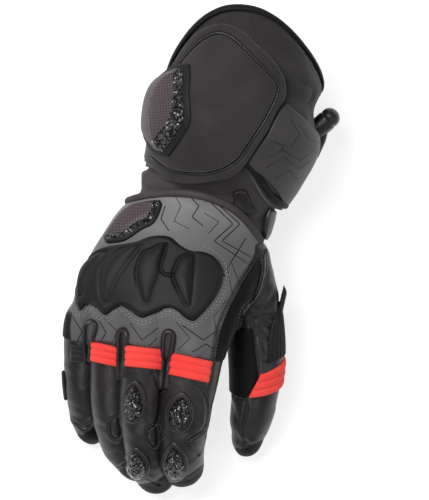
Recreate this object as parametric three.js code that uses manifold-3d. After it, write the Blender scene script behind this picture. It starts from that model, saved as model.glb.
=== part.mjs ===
// Long-cuff motorcycle glove for the right hand, lying palm down with its fingers curled to the ground.
// Millimetres, +Z up. +Y runs from the fingertips to the cuff, +X towards the thumb.
// Every leather tube is lofted through a short table of sections. What is sewn or moulded on it takes
// its place from that tube's own surface, in stations along it and degrees round it:
// 0 is the thumb side, 90 the back of the hand, 180 the little finger side and 270 the palm side.
import * as THREE from 'three';
import { mergeVertices } from 'three/addons/utils/BufferGeometryUtils.js';
import Module from 'manifold-3d';

const wasm = await Module();
wasm.setup();

// Leather, gaps and the main sizes
const leather = 1.8;            // hand and finger leather with its lining
const cuffWall = 2.8;           // padded cuff
const clearance = 0.35;         // between pieces that are sewn or moulded to each other
const wrapClearance = 0.6;      // under pieces that wrap round, whose flat facets sag between their corners
const looseClearance = 1.0;     // under and between wide curved walls
const handLength = 77;          // wrist line to finger roots
const handWidth = 92;           // across the knuckles
const handThickness = 46;
const wristHeight = 31;         // wrist centre above the ground
const knuckleHeight = 47;       // knuckle centre above the ground
const cuffLength = 64;          // cuff hem to the side of its mouth
const cuffWidth = 95;
const cuffDepth = 87;
const cuffSink = 2.9;           // how far the round cuff is flattened by its own weight
const backReach = 35.5;         // how far the cuff's back runs past the sides of its mouth
const sleeveTuck = 1.75;         // how far the wrist sleeve runs into the cuff, in cuff stations

// Hand sections. along: share of handLength below the wrist line. side: share of handWidth towards the
// thumb. rise: 0 at the wrist's height, 1 at the knuckles'. width, thick: shares of the hand's own.
const handTable = [
  { along: -0.1, side: 0.03, rise: -0.03, width: 0.83, thick: 1.1, lean: 20, roll: 0 },
  { along: 0, side: 0, rise: 0, width: 0.84, thick: 1, lean: 22, roll: 0 },
  { along: 0.09, side: -0.04, rise: 0.12, width: 0.88, thick: 1, lean: 21, roll: 2 },
  { along: 0.19, side: -0.08, rise: 0.31, width: 0.96, thick: 1, lean: 19, roll: 5 },
  { along: 0.33, side: -0.14, rise: 0.56, width: 1.01, thick: 1, lean: 17, roll: 8 },
  { along: 0.49, side: -0.21, rise: 0.81, width: 1.04, thick: 0.98, lean: 15, roll: 11 },
  { along: 0.65, side: -0.28, rise: 0.97, width: 1.04, thick: 0.94, lean: 12.5, roll: 14 },
  { along: 0.82, side: -0.32, rise: 1, width: 1.03, thick: 0.84, lean: 11, roll: 16 },
  { along: 1, side: -0.36, rise: 0.94, width: 0.98, thick: 0.62, lean: 9.5, roll: 18 },
];
const handEnd = 7;              // how far the hand rounds off past its last section

// Cuff sections. along: share of cuffLength above the hem. side: share of cuffWidth. The last section
// carries the back of the cuff past the sides of its mouth, by backReach.
const cuffTable = [
  { along: 0, side: 0.07, rise: 0.81, width: 0.89, depth: 0.64, lean: 18, floor: 0 },
  { along: 0.18, side: 0.13, rise: 0.88, width: 0.94, depth: 0.86, lean: 13, floor: 0 },
  { along: 0.46, side: 0.18, rise: 0.98, width: 1, depth: 0.98, lean: 9, floor: 0 },
  { along: 0.74, side: 0.18, rise: 1.0, width: 0.93, depth: 1, lean: 7, floor: 2.5 },
  { along: 1, side: 0.24, rise: 1.0, width: 0.89, depth: 0.98, lean: 5, floor: 7 },
  { along: 1, side: 0.22, rise: 0.93, width: 0.68, depth: 0.93, lean: 4, floor: 7, reach: 1 },
];
const hemOffset = 12.9;         // cuff hem above the wrist line
const around = 20;              // corners round the hand and cuff
const fingerAround = 12;        // corners round a finger
const palmDip = 0.12;           // how much shorter the cuff is on its palm side, in stations

// Fingers. side, along, lift: where each starts inside the hand, in shares of its width, length and
// thickness. root: the station where the grey root ends and the stall begins. Each bone: length, heading
// towards the little finger and pitch towards the ground in degrees, and the finger's width at its end.
const fingerTable = {
  index: {
    root: 1.34, side: 0.01, along: 0.68, lift: 0.21, width: 30, depth: 26, tip: 11.5, roll: 4,
    bones: [
      { length: 15, heading: 14, pitch: 2, width: 32.5 },
      { length: 43, heading: 10.5, pitch: 5.5, width: 29 },
      { length: 29, heading: 6.5, pitch: 29, width: 26 },
      { length: 16.5, heading: -3, pitch: 57, width: 24.5 },
    ],
  },
  middle: {
    root: 1.3, side: -0.32, along: 0.62, lift: 0.2, width: 25, depth: 25.5, tip: 11, roll: -4,
    bones: [
      { length: 15, heading: 8, pitch: 4, width: 25 },
      { length: 44, heading: 5.5, pitch: 8, width: 24.5 },
      { length: 33.5, heading: -6, pitch: 28.5, width: 24 },
      { length: 23, heading: -14.5, pitch: 55, width: 22.5 },
    ],
  },
  ring: {
    root: 1.26, side: -0.55, along: 0.6, lift: 0.045, width: 24, depth: 24, tip: 10.4, roll: -8,
    bones: [
      { length: 15, heading: 4, pitch: 8, width: 24 },
      { length: 46, heading: 1, pitch: 14, width: 23.5 },
      { length: 29, heading: -10, pitch: 33, width: 22.5 },
      { length: 16.5, heading: -33, pitch: 35.5, width: 20.5 },
    ],
  },
  little: {
    root: 1.33, side: -0.74, along: 0.62, lift: -0.15, width: 17, depth: 20.5, tip: 9.2, roll: -12,
    bones: [
      { length: 13, heading: 3, pitch: 12, width: 21 },
      { length: 35.5, heading: 0.5, pitch: 19.5, width: 20.5 },
      { length: 22, heading: -7.5, pitch: 32.5, width: 20 },
      { length: 8.5, heading: -22, pitch: 29, width: 18.5 },
    ],
  },
};
const fingerOrder = ['index', 'middle', 'ring', 'little'];  // each lies over the next where they touch
const rootProud = 1.1;          // the roots stand as proud as the bands that follow them

const thumbTable = {
  side: 0.13, along: 0.14, lift: -0.21, width: 36, depth: 27, tip: 9, roll: 0,
  bones: [
    { length: 19, heading: -20, pitch: -3, width: 37 },
    { length: 28, heading: -17.5, pitch: 6, width: 31 },
    { length: 25.5, heading: -5, pitch: 9, width: 31.5 },
    { length: 23.5, heading: 4.5, pitch: 15, width: 28 },
    { length: 19, heading: 7.5, pitch: 28, width: 21 },
    { length: 8.5, heading: 11.5, pitch: 32.5, width: 17 },
  ],
};

const radians = THREE.MathUtils.degToRad;
const mix = THREE.MathUtils.lerp;

// A value at station t of a list, on a curve through its neighbours, straight on past both ends
function along(values, t) {
  const last = values.length - 1;
  const i = Math.min(Math.max(Math.floor(t), 0), last - 1);
  const [b, c] = [values[i], values[i + 1]];
  if (t < 0) return b + (c - b) * t;
  if (t > last) return c + (c - b) * (t - last);
  const a = i > 0 ? values[i - 1] : 2 * b - c;
  const d = i + 2 <= last ? values[i + 2] : 2 * c - b;
  const f = t - i;
  return b + 0.5 * f * (c - a + f * (2 * a - 5 * b + 4 * c - d + f * (3 * (b - c) + d - a)));
}

// A leather tube through sections of {centre, side, up, halfWidth, halfHeight}
class Tube {
  constructor(sections, { square = 2, reach = 0 } = {}) {
    this.sections = sections;
    this.square = square;       // 2 is an ellipse, more is squarer
    this.reach = reach;         // length of the rounded end past the last section, 0 for none
    this.last = sections.length - 1;
    this.columns = {};
  }

  column(name, read) {
    this.columns[name] ??= this.sections.map(read);
    return this.columns[name];
  }

  vector(name, t) {
    return new THREE.Vector3(...['x', 'y', 'z'].map(
      (axis) => along(this.column(name + axis, (s) => s[name][axis]), t)));
  }

  // The section at a station, grown by an offset
  section(t, offset) {
    return {
      centre: this.vector('centre', t), side: this.vector('side', t), up: this.vector('up', t),
      halfWidth: along(this.column('w', (s) => s.halfWidth), t) + offset,
      halfHeight: along(this.column('h', (s) => s.halfHeight), t) + offset,
      floor: this.floor(t) - offset,
    };
  }

  floor(t) {
    return Math.max(along(this.column('f', (s) => s.floor ?? 0), t), 0);
  }

  // The point at station t and angle v, offset out of the leather. The ground flattens what reaches it.
  point(t, v, offset = 0) {
    const domed = this.reach > 0 && t > this.last;
    const u = domed ? this.last : t;
    const centre = this.vector('centre', u);
    const side = this.vector('side', u).normalize();
    const up = this.vector('up', u).addScaledVector(side, -this.vector('up', u).dot(side)).normalize();
    let wide = along(this.column('w', (s) => s.halfWidth), u) + offset;
    let high = along(this.column('h', (s) => s.halfHeight), u) + offset;
    if (domed) {
      const turn = Math.min(t - this.last, 1) * Math.PI / 2;
      const ahead = this.vector('centre', u).sub(this.vector('centre', u - 0.05)).normalize();
      centre.addScaledVector(ahead, (this.reach + offset) * Math.sin(turn));
      wide *= Math.cos(turn);
      high *= Math.cos(turn);
    }
    const [c, s] = [Math.cos(radians(v)), Math.sin(radians(v))];
    const bend = (x) => Math.sign(x) * Math.abs(x) ** (2 / this.square);
    const p = centre.addScaledVector(side, wide * bend(c)).addScaledVector(up, high * bend(s));
    p.z = Math.max(p.z, this.floor(u) - offset);
    return p;
  }

  normal(t, v) {
    const a = this.point(t + 0.02, v).sub(this.point(t - 0.02, v));
    const b = this.point(t, v + 1).sub(this.point(t, v - 1));
    const n = a.cross(b).normalize();
    const out = this.point(t, v).sub(this.vector('centre', Math.min(t, this.last)));
    return n.dot(out) < 0 ? n.negate() : n;
  }
}

// A closed mesh from rows of points that close on themselves. The last row joins the first, or each end
// is capped: round its middle, or, where a row goes over and comes back under, rung by rung.
function closedMesh(rows, ends = 'middle') {
  const count = rows[0].length;
  const positions = rows.flat().flatMap((p) => [p.x, p.y, p.z]);
  const index = [];
  const quad = (a, b, c, d) => index.push(a, b, c, a, c, d);
  for (let i = 0; i < (ends === 'joined' ? rows.length : rows.length - 1); i++) {
    for (let j = 0; j < count; j++) {
      const [k, m] = [(i + 1) % rows.length, (j + 1) % count];
      quad(i * count + j, i * count + m, k * count + m, k * count + j);
    }
  }
  for (const first of ends === 'joined' ? [] : [0, (rows.length - 1) * count]) {
    const turned = (...corners) => (first ? corners : corners.reverse());
    if (ends === 'rungs') {
      for (let j = 0; j < count / 2 - 1; j++) {
        quad(...turned(first + j, first + j + 1, first + count - 2 - j, first + count - 1 - j));
      }
    } else {
      const row = rows[first ? rows.length - 1 : 0];
      const middle = row.reduce((sum, p) => sum.add(p), new THREE.Vector3()).divideScalar(count);
      const hub = positions.push(middle.x, middle.y, middle.z) / 3 - 1;
      for (let j = 0; j < count; j++) index.push(...turned(hub, first + j, first + (j + 1) % count));
    }
  }
  return solidOf(positions, index);
}

// Points and triangles as a solid: equal points merged, empty triangles dropped, faces turned outwards
function solidOf(positions, index) {
  const raw = new THREE.BufferGeometry();
  raw.setAttribute('position', new THREE.Float32BufferAttribute(positions, 3));
  raw.setIndex(index);
  const merged = mergeVertices(raw, 2e-3);
  const [place, order] = [merged.attributes.position.array, merged.index.array];
  const kept = [];
  let volume = 0;
  for (let i = 0; i < order.length; i += 3) {
    const [a, b, c] = order.slice(i, i + 3);
    if (a === b || b === c || c === a) continue;
    kept.push(a, b, c);
    const [p, q, r] = [a, b, c].map((k) => new THREE.Vector3().fromArray(place, 3 * k));
    volume += p.dot(q.cross(r));
  }
  if (volume < 0) kept.reverse();
  return new wasm.Manifold(new wasm.Mesh({
    numProp: 3, vertProperties: new Float32Array(place), triVerts: new Uint32Array(kept),
  }));
}

const steps = (from, to, count) => Array.from({ length: count + 1 }, (_, i) => mix(from, to, i / count));

// The whole inside of a tube from one station to another, as one solid. from may change with the angle.
function plug(tube, from, to, rings, around, offset) {
  const start = typeof from === 'function' ? from : () => from;
  const end = Math.min(to, tube.last);
  const ways = [...steps(0, 1, rings)];
  const rows = ways.map((f) => steps(0, 360, around).slice(0, -1)
    .map((v) => tube.point(mix(start(v), end, f), v, offset)));
  if (to > tube.last) {
    rows.push(...[0.4, 0.75, 1].map((f) => steps(0, 360, around).slice(0, -1)
      .map((v) => tube.point(tube.last + f, v, offset))));
  }
  return closedMesh(rows);
}

// The [station, angle] at shares u along a table and w across its rows
const spotOn = (table, u, w) => [0, 1].map((k) => along(
  table.map((row) => along(row.map((point) => point[k]), w * (row.length - 1))), u * (table.length - 1)));

// A pad that lies on a tube. Its table holds rows of [station, angle] points across it, all of one
// length; low and high are its offsets at each share along the table and across a row.
function pad(tube, table, { rows, columns, low = wrapClearance, high }) {
  const value = (f, u, w) => (typeof f === 'function' ? f(u, w) : f);
  const us = steps(0, 1, rows);
  const ws = steps(0, 1, columns);
  const sheet = (offset) => us.map((u) => ws.map(
    (w) => tube.point(...spotOn(table, u, w), value(offset, u, w))));
  const [under, over] = [sheet(low), sheet(high)];
  return closedMesh(us.map((_, i) => [...over[i], ...under[i].slice().reverse()]), 'rungs');
}

// A wall between two offsets of a tube, open at both ends, with rings at the shares given in ways
function wall(tube, fromAt, toAt, ways, low, high) {
  const turn = steps(0, 360, around).slice(0, -1);
  const sheet = (offset, order) => order.map((f) => turn.map(
    (v) => tube.point(mix(fromAt(v), toAt(v), f), v, offset)));
  return closedMesh([...sheet(high, ways), ...sheet(low, ways.slice().reverse())], 'joined');
}

// A raised bead along [station, angle] points on a tube, lifted off it, with a profile of [across, up]
function bead(tube, path, profile, lift) {
  const spots = path.map(([at, angle]) => tube.point(at, angle));
  const rings = path.map(([at, angle], i) => {
    const before = spots[Math.max(i - 1, 0)];
    const after = spots[Math.min(i + 1, path.length - 1)];
    const out = tube.normal(at, angle);
    const ahead = after.clone().sub(before).normalize();
    const across = new THREE.Vector3().crossVectors(out, ahead).normalize();
    return profile.map(([x, y]) => spots[i].clone()
      .addScaledVector(across, x).addScaledVector(out, y + lift));
  });
  return closedMesh(rings);
}

const halfRound = (width, height) => [
  [-width / 2, 0], [-width * 0.42, 0.7 * height], [0, height], [width * 0.42, 0.7 * height], [width / 2, 0],
];

// The hand
const up = new THREE.Vector3(0, 0, 1);
function section({ lean, roll = 0, floor = 0 }, centre, halfWidth, halfHeight) {
  const turn = new THREE.Matrix4().makeRotationZ(-radians(lean))
    .multiply(new THREE.Matrix4().makeRotationY(-radians(roll)));
  return {
    centre, halfWidth, halfHeight, floor,
    side: new THREE.Vector3(1, 0, 0).transformDirection(turn),
    up: up.clone().transformDirection(turn),
  };
}

const handTube = new Tube(handTable.map((row) => section(row,
  new THREE.Vector3(row.side * handWidth, -row.along * handLength,
    mix(wristHeight, knuckleHeight, row.rise)),
  row.width * handWidth / 2, row.thick * handThickness / 2)), { square: 2.15, reach: handEnd });

// A finger's own tube: its spine follows the bones, and its sections stand square to it
function stall({ side: across, along: down, lift, width, depth, tip, roll, bones }) {
  const joints = [new THREE.Vector3(across * handWidth, -down * handLength,
    knuckleHeight + lift * handThickness)];
  const directions = bones.map(({ heading, pitch }) => new THREE.Vector3(
    -Math.sin(radians(heading)) * Math.cos(radians(pitch)),
    -Math.cos(radians(heading)) * Math.cos(radians(pitch)), -Math.sin(radians(pitch))));
  bones.forEach(({ length }, i) => joints.push(joints[i].clone().addScaledVector(directions[i], length)));
  const sections = joints.map((centre, i) => {
    const before = directions[Math.max(i - 1, 0)];
    const after = directions[Math.min(i, bones.length - 1)];
    const ahead = before.clone().add(after).normalize();
    const flat = new THREE.Vector3().crossVectors(up, ahead).normalize();
    const side = flat.applyAxisAngle(ahead, -radians(roll));
    const wide = i ? bones[i - 1].width : width;
    return {
      centre, side, up: new THREE.Vector3().crossVectors(ahead, side),
      halfWidth: wide / 2, halfHeight: depth / 2 * mix(1, Math.min(wide / width, 1), 0.6),
    };
  });
  return new Tube(sections, { square: 2.1, reach: tip });
}

const fingerTubes = Object.fromEntries(fingerOrder.map((name) => {
  const finger = fingerTable[name];
  return [name, stall(finger)];
}));
const thumbTube = stall(thumbTable);

const gap = clearance;
const union = (solids) => solids.reduce((sum, solid) => sum.add(solid));
const take = (solid, others) => others.reduce((rest, other) => rest.subtract(other), solid);
const largest = (solid) => solid.decompose().sort((a, b) => b.volume() - a.volume())[0];

// The hand's leather starts in an arc over the wrist and further down at its sides and palm
const wristLow = 2.0;
const wristArc = 2.2;
const wristAt = (v) => wristLow - wristArc * Math.max(0, Math.sin(radians(v + 4))) ** 1.6;
const handPlug = (offset, from = wristAt) => plug(handTube, from, handTube.last + 1, 8, around, offset);
const rootPlug = (name, offset, past = 0) => plug(fingerTubes[name], 0, fingerTable[name].root + past, 1,
  fingerAround, offset);

const handOutside = union([handPlug(0), ...fingerOrder.map((name) => rootPlug(name, rootProud))]);
const handInside = union([
  plug(handTube, -1.5, handTube.last + 1, 7, around, -leather),
  ...fingerOrder.map((name) => rootPlug(name, rootProud - leather, 0.3)),
  plug(thumbTube, 0.6, 3, 2, fingerAround, -leather - 0.6),
]);
const handShell = handOutside.subtract(handInside);
const handZone = union([handPlug(gap, (v) => wristAt(v) - 0.06),
  ...fingerOrder.map((name) => rootPlug(name, rootProud + gap))]);

// The grey back is cut out of the hand's leather. Rows of [station, angle] from the thumb side across.
const backTable = [
  [[-1.2, 24], [-1.2, 170]],
  [[2.0, 25], [2.0, 172]],
  [[3.4, 34], [3.4, 177]],
  [[5.0, 37], [5.0, 170]],
  [[6.6, 33], [6.6, 172]],
  [[8.4, 26], [8.4, 172]],
];
const rootSides = { index: [59, 200], middle: [-30, 200], ring: [-30, 200], little: [-30, 116] };
function backZone(grow) {
  const open = new Tube(handTube.sections, { square: handTube.square });
  const zone = (tube, table, millimetres, degrees, low, high, columns) => pad(tube,
    table.map(([[t, from], [, to]], i) => {
      const at = t + (i === 0 ? -1 : i === table.length - 1 ? 1 : 0) * grow / millimetres;
      return [[at, from - grow * degrees], [at, to + grow * degrees]];
    }), { rows: table.length - 1, columns, low: low - grow, high: high + grow });
  return union([zone(open, backTable, 10, 1.4, -8, 6, 6), ...fingerOrder.map((name) => {
    const [from, to] = rootSides[name];
    return zone(fingerTubes[name], [[[0.3, from], [0.3, to]], [[1.7, from], [1.7, to]]], 44, 5, -5, 5, 4);
  })]);
}
const handBack = handShell.intersect(backZone(0));
const handPalm = handShell.subtract(backZone(gap));

// Finger stalls and thumb: each is trimmed where it meets the hand and the finger that lies over it
const stallPlug = (name, offset, from = 0, count = fingerAround) => plug(fingerTubes[name], from,
  fingerTubes[name].last + 1, from > 1 ? 6 : 9, count, offset);
const overlying = (name, offset) => {
  const i = fingerOrder.indexOf(name);
  return i > 0 ? [stallPlug(fingerOrder[i - 1], offset)] : [];
};
function stallSolid(name) {
  const from = fingerTable[name].root;
  const outside = take(stallPlug(name, 0, from + 0.01), [handPlug(gap), ...overlying(name, gap)]);
  const inside = take(stallPlug(name, -leather, from - 0.3, 9), overlying(name, gap + leather));
  return outside.subtract(inside);
}
const thumbPlug = (offset, from, count = fingerAround) => plug(thumbTube, from, thumbTube.last + 1,
  9, count, offset);
const thumbSolid = () => take(thumbPlug(0, 0.15), [handZone, sleeveZone(), backBinding(gap),
  stallPlug('index', gap)])
  .subtract(thumbPlug(-leather, 0, 9));

// The cuff
const cuffTube = new Tube(cuffTable.map((row) => section(row, new THREE.Vector3(
  row.side * cuffWidth, hemOffset + row.along * cuffLength + (row.reach ? backReach : 0),
  row.rise * cuffDepth / 2 - cuffSink), row.width * cuffWidth / 2, row.depth * cuffDepth / 2)),
{ square: 2.25 });
const mouthAt = (v) => {
  const s = Math.sin(radians(v));
  return s > 0 ? 4 + s : 4 + palmDip * s * 4;
};
const hemRise = 1.1;            // stations the hem climbs over the thumb side of the wrist's back
const hemAt = (v) => hemRise * Math.exp(-(((v - 86) / 31) ** 2));
const cuffWays = [...steps(0, 0.94, 6), 1];
const cuffZone = (grow) => wall(cuffTube, hemAt, mouthAt, cuffWays, -cuffWall - grow, grow);

const bindingWidth = 5;         // the rim binding's width on each face
const bindingThick = 1.2;
const bindingProud = 2.1;       // how far it stands past the mouth's edge
function rimBinding() {
  const inner = -cuffWall - looseClearance;
  const profile = [[-bindingWidth, looseClearance], [-bindingWidth, looseClearance + bindingThick],
    [clearance, looseClearance + bindingThick], [bindingProud, -cuffWall / 2],
    [clearance, inner - bindingThick], [-bindingWidth, inner - bindingThick], [-bindingWidth, inner],
    [clearance, inner], [clearance, looseClearance]];
  const rings = steps(0, 360, around).slice(0, -1).map((v) => {
    const station = 10 * cuffTube.point(mouthAt(v), v).distanceTo(cuffTube.point(mouthAt(v) - 0.1, v));
    return profile.map(([x, y]) => cuffTube.point(mouthAt(v) + x / station, v, y));
  });
  return closedMesh(rings, 'joined').subtract(cuffZone(gap));
}

// The wrist sleeve runs from inside the hand's leather into the cuff
const sleeveTube = new Tube([
  ...[2.7, 2, 1, 0].map((t) => handTube.section(t, -leather - wrapClearance)),
  ...[0, sleeveTuck / 2, sleeveTuck].map((t) => cuffTube.section(t, -cuffWall - looseClearance)),
], { square: 2.2 });
const sleeve = wall(sleeveTube, () => 0, () => sleeveTube.last, steps(0, 1, 6), -leather, 0);
const sleeveZone = () => plug(sleeveTube, 0, sleeveTube.last, 6, around, gap);

// Bound edges: over the wrist arc, along the cuff's hem
const edgePath = (at, from, to, count) => steps(from, to, count).map((v) => [at(v), v]);
const edgeWidth = 4.5;
const edgeHeight = 1.5;
const backBinding = (grow) => bead(handTube, edgePath((v) => wristAt(v) + 0.26, 26 - grow, 215, 16),
  halfRound(edgeWidth + 2 * grow, edgeHeight + 2 * grow), wrapClearance - grow);
const hemBinding = bead(cuffTube, edgePath((v) => hemAt(v) + 0.22, -152, 80, 16),
  halfRound(edgeWidth, edgeHeight), wrapClearance);

// Grey side panel of the cuff, from the hem up; rows of [station, angle] along it
const panelTable = [
  [[1.4, 77], [1.8, 74]],
  [[1.3, 65], [2.5, 66]],
  [[1, 51], [3, 56]],
  [[0.7, 37], [2.75, 43]],
  [[0.5, 23], [2.4, 26]],
  [[0.45, 8], [2.1, 12]],
  [[0.45, -15], [1.9, -15]],
];
const panelFace = 2.2;
const cuffPanel = pad(cuffTube, panelTable,
  { rows: 8, columns: 4, low: looseClearance + clearance, high: panelFace });

// The closure flap wraps over the cuff from the little finger side
const flapFace = 3.8;
const flapTable = [
  [[0.35, 206], [0.05, 150], [-0.1, 115], [0.6, 89]],
  [[1, 206], [0.8, 160], [0.8, 115], [1.1, 82]],
  [[1.7, 206], [1.7, 162], [1.7, 112], [1.85, 76]],
  [[2.4, 205], [2.4, 160], [2.45, 110], [2.5, 68]],
  [[3, 203], [3.1, 158], [3.2, 108], [3.2, 60]],
  [[3.3, 201], [3.5, 155], [3.95, 108], [3.75, 62]],
  [[3.35, 200], [3.85, 154], [4.7, 113], [4.4, 83]],
];
const flapTop = (u, w) => {
  const edge = Math.min(u, 1 - u, 1 - w) * 12;
  return flapFace - 1.0 * Math.max(0, 1 - edge) ** 2;
};
const closureFlap = pad(cuffTube, flapTable, { rows: 9, columns: 10, low: looseClearance, high: flapTop });
// The piping runs round it, a little inside its edge
const pipingInset = 0.07;
const pipingStart = 0.35;
const pipingEnd = 0.55;
const pipingPath = [
  ...steps(pipingStart, 1 - 2 * pipingInset, 4).map((w) => spotOn(flapTable, pipingInset / 2, w)),
  ...steps(pipingInset, 1 - pipingInset, 7).map((u) => spotOn(flapTable, u, 1 - pipingInset)),
  ...steps(1 - 2 * pipingInset, pipingEnd, 3).map((w) => spotOn(flapTable, 1 - pipingInset, w)),
];
const flapPiping = bead(cuffTube, pipingPath, halfRound(2.2, 1.3), flapFace + wrapClearance);

// Hard sliders: a bezel sewn to the leather and a dome in it
const domeTop = (base, height) => (u, w) => base
  + height * Math.sqrt(Math.max(0, 1 - (2 * u - 1) ** 2)) * Math.sqrt(Math.max(0, 1 - (2 * w - 1) ** 2));
const bezelThick = 1.2;
const seat = wrapClearance + bezelThick + wrapClearance;
const flapSeat = flapFace + looseClearance + bezelThick + looseClearance + clearance;
const spread = (table, stations, degrees) => table.map((row, i) => {
  const t = row[0][0] + stations * (2 * i / (table.length - 1) - 1);
  return [[t, row[0][1] - degrees], [t, row[1][1] + degrees]];
});
const flapSliderTable = [
  [[1.15, 136], [1.15, 143]], [[1.45, 131], [1.45, 157]], [[1.8, 126], [1.8, 177]],
  [[2.2, 122], [2.2, 189]], [[2.7, 123], [2.7, 191]], [[3.2, 127], [3.2, 186]],
  [[3.65, 132], [3.65, 166]], [[3.9, 137], [3.9, 146]],
];
const backSliderTable = [
  [[1.7, 122], [1.7, 129]], [[2, 121], [2, 143]], [[2.55, 120], [2.55, 157]],
  [[3.1, 120], [3.1, 159]], [[3.6, 124], [3.6, 156]], [[4.05, 138], [4.05, 151]],
];
const slopeTop = (base, height) => (u, w) => {
  const edge = Math.min(1, 5 * Math.min(u, 1 - u));
  return base + height * edge * Math.max(0, 1 - Math.abs(w - 0.35) / 0.75);
};

// Finger sliders: drop shaped, pointed towards the hand. from, to: stations. angle, half: in degrees.
const dropTable = [
  { along: 0, share: 0.12 }, { along: 0.2, share: 0.5 }, { along: 0.45, share: 0.85 },
  { along: 0.7, share: 1 }, { along: 0.88, share: 0.75 }, { along: 1, share: 0.3 },
];
const drop = ({ from, to, angle, half }, grow) => dropTable.map(({ along: f, share }) => {
  const t = mix(from - grow / 3, to + grow / 4, f);
  return [[t, angle - half * share * (1 + grow)], [t, angle + half * share * (1 + grow)]];
});
const sliderHeight = 2.8;
const sliderTable = {
  index_near: { finger: 'index', from: 1.8, to: 2.24, angle: 101, half: 22 },
  index_far: { finger: 'index', from: 2.6, to: 3.55, angle: 104, half: 23 },
  middle_near: { finger: 'middle', from: 1.74, to: 2.16, angle: 101, half: 21 },
  middle_far: { finger: 'middle', from: 2.64, to: 3.3, angle: 110, half: 25 },
};

// Knuckle guard: moulded rubber, raised over the four knuckles. From its edge by the wrist to its edge by
// the fingers, in columns from the little finger to the thumb side.
const guardThick = 2.4;
const guardBulge = 4;
const guardTable = [
  [[6.4, 158], [6.55, 152]], [[5.55, 158], [7, 139]], [[4.95, 151], [6.65, 131]],
  [[4.55, 143], [6.9, 119]], [[4.25, 129], [6.95, 112]], [[3.95, 117], [6.45, 105]],
  [[3.6, 111], [6.75, 94]], [[3.4, 104], [6.8, 89]], [[3.35, 98], [6.4, 81]],
  [[3.55, 90], [6.2, 77]], [[3.65, 84], [6.35, 68]], [[3.5, 77], [6.55, 58]],
  [[3.55, 70], [5.95, 53]], [[3.8, 62], [5.25, 52]], [[4.1, 57], [4.55, 54]],
];
const knuckleTable = [
  { along: 0.11, across: 0.6 }, { along: 0.27, across: 0.58 },
  { along: 0.46, across: 0.58 }, { along: 0.75, across: 0.5 },
];
const guardTop = (u, w) => {
  const bump = (k) => Math.exp(-(((u - k.along) / 0.1) ** 2) - ((w - k.across) / 0.34) ** 2);
  const raised = knuckleTable.reduce((sum, k) => sum + bump(k), 0);
  const edge = Math.min(1, 7 * Math.min(u, 1 - u, w, 1 - w) + 0.4);
  return looseClearance + clearance + (guardThick + guardBulge * Math.min(raised, 1)) * edge;
};
const knuckleGuard = pad(handTube, guardTable,
  { rows: 13, columns: 4, low: looseClearance + clearance, high: guardTop })
  .subtract(union(fingerOrder.map((name) => rootPlug(name, rootProud + gap))));

// Ribbed stretch bands: across the finger roots, and round the thumb
const bandThick = 1.15;
const bandSeat = 0.85;          // under the bands, whose fingers bend
const bandRibs = 3;
const ribDepth = 0.35;
const ribbed = (u) => bandSeat + bandThick - ribDepth + ribDepth * Math.abs(Math.sin(Math.PI * bandRibs * u));
const bandTable = {
  index: { to: 1.61, low: 50, high: 140 },
  middle: { to: 1.56, low: 24, high: 132 },
  ring: { to: 1.5, low: 36, high: 146 },
  little: { to: 1.59, low: 70, high: 120 },
};
const fingerBand = (name) => {
  const [from, { to, low, high }] = [fingerTable[name].root + 0.01, bandTable[name]];
  return pad(fingerTubes[name], [[[from, low], [from, high]], [[to, low], [to, high]]],
    { rows: 2 * bandRibs, columns: 5, low: bandSeat, high: ribbed });
};
const thumbBand = pad(thumbTube, [[[3.05, -25], [3.34, 82]], [[3.62, -25], [3.91, 104]]],
  { rows: 2 * bandRibs, columns: 6, low: bandSeat, high: ribbed });

// Thumb panels: soft leather over its front, a ribbed one on its outer side that ends in a raised point
const thumbFront = pad(thumbTube, [
  [[2.3, 97], [2.3, 196]], [[2.95, 92], [2.95, 205]], [[3.4, 88], [3.4, 207]],
  [[3.65, 97], [3.65, 207]], [[3.95, 112], [3.95, 200]],
], { rows: 5, columns: 6, low: bandSeat, high: 1.7 });
const spikeHeight = 3.2;
const sideRibs = 6;
const thumbSide = pad(thumbTube, [
  [[1.7, -14], [1.7, 14]], [[1.95, -22], [1.95, 44]], [[2.4, -24], [2.4, 60]],
  [[2.75, -24], [2.75, 62]], [[3, -24], [3.1, 60]],
], {
  rows: 2 * sideRibs,
  columns: 4,
  low: bandSeat,
  high: (u, w) => 1.5 + 0.4 * Math.abs(Math.sin(Math.PI * sideRibs * u))
    + spikeHeight * Math.exp(-(((u - 0.1) / 0.13) ** 2) - ((w - 0.35) / 0.3) ** 2),
});

// Black leather bridges that run down between the finger roots, each on the finger that lies on top
const bridgeTable = {
  index_middle: { under: 'middle', from: 1.05, to: 1.8, start: 143, end: 184 },
  middle_ring: { under: 'ring', from: 1.02, to: 1.7, start: 135, end: 182 },
  ring_little: { under: 'little', from: 0.96, to: 1.62, start: 149, end: 186 },
};
const bandZone = (name) => plug(fingerTubes[name], fingerTable[name].root - 0.01, bandTable[name].to + 0.01,
  1, fingerAround, bandSeat + bandThick + wrapClearance);
const bridgeThick = 1.2;
function bridge(name, { under, from, to, start, end }) {
  const tube = fingerTubes[name.split('_')[0]];
  const [middle, reach] = [(start + end) / 2, (end - start) / 2];
  const table = [0.35, 0.9, 1, 1, 0.9, 0.3].map((share, i) => {
    const t = mix(from, to, [0, 0.08, 0.3, 0.7, 0.92, 1][i]);
    return [[t, middle - reach * share], [t, middle + reach * share]];
  });
  const low = rootProud + wrapClearance;
  return take(pad(tube, table, { rows: 5, columns: 3, low, high: low + bridgeThick }),
    [handPlug(gap), stallPlug(under, gap), rootPlug(under, rootProud + gap), bandZone(under)]);
}

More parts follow.
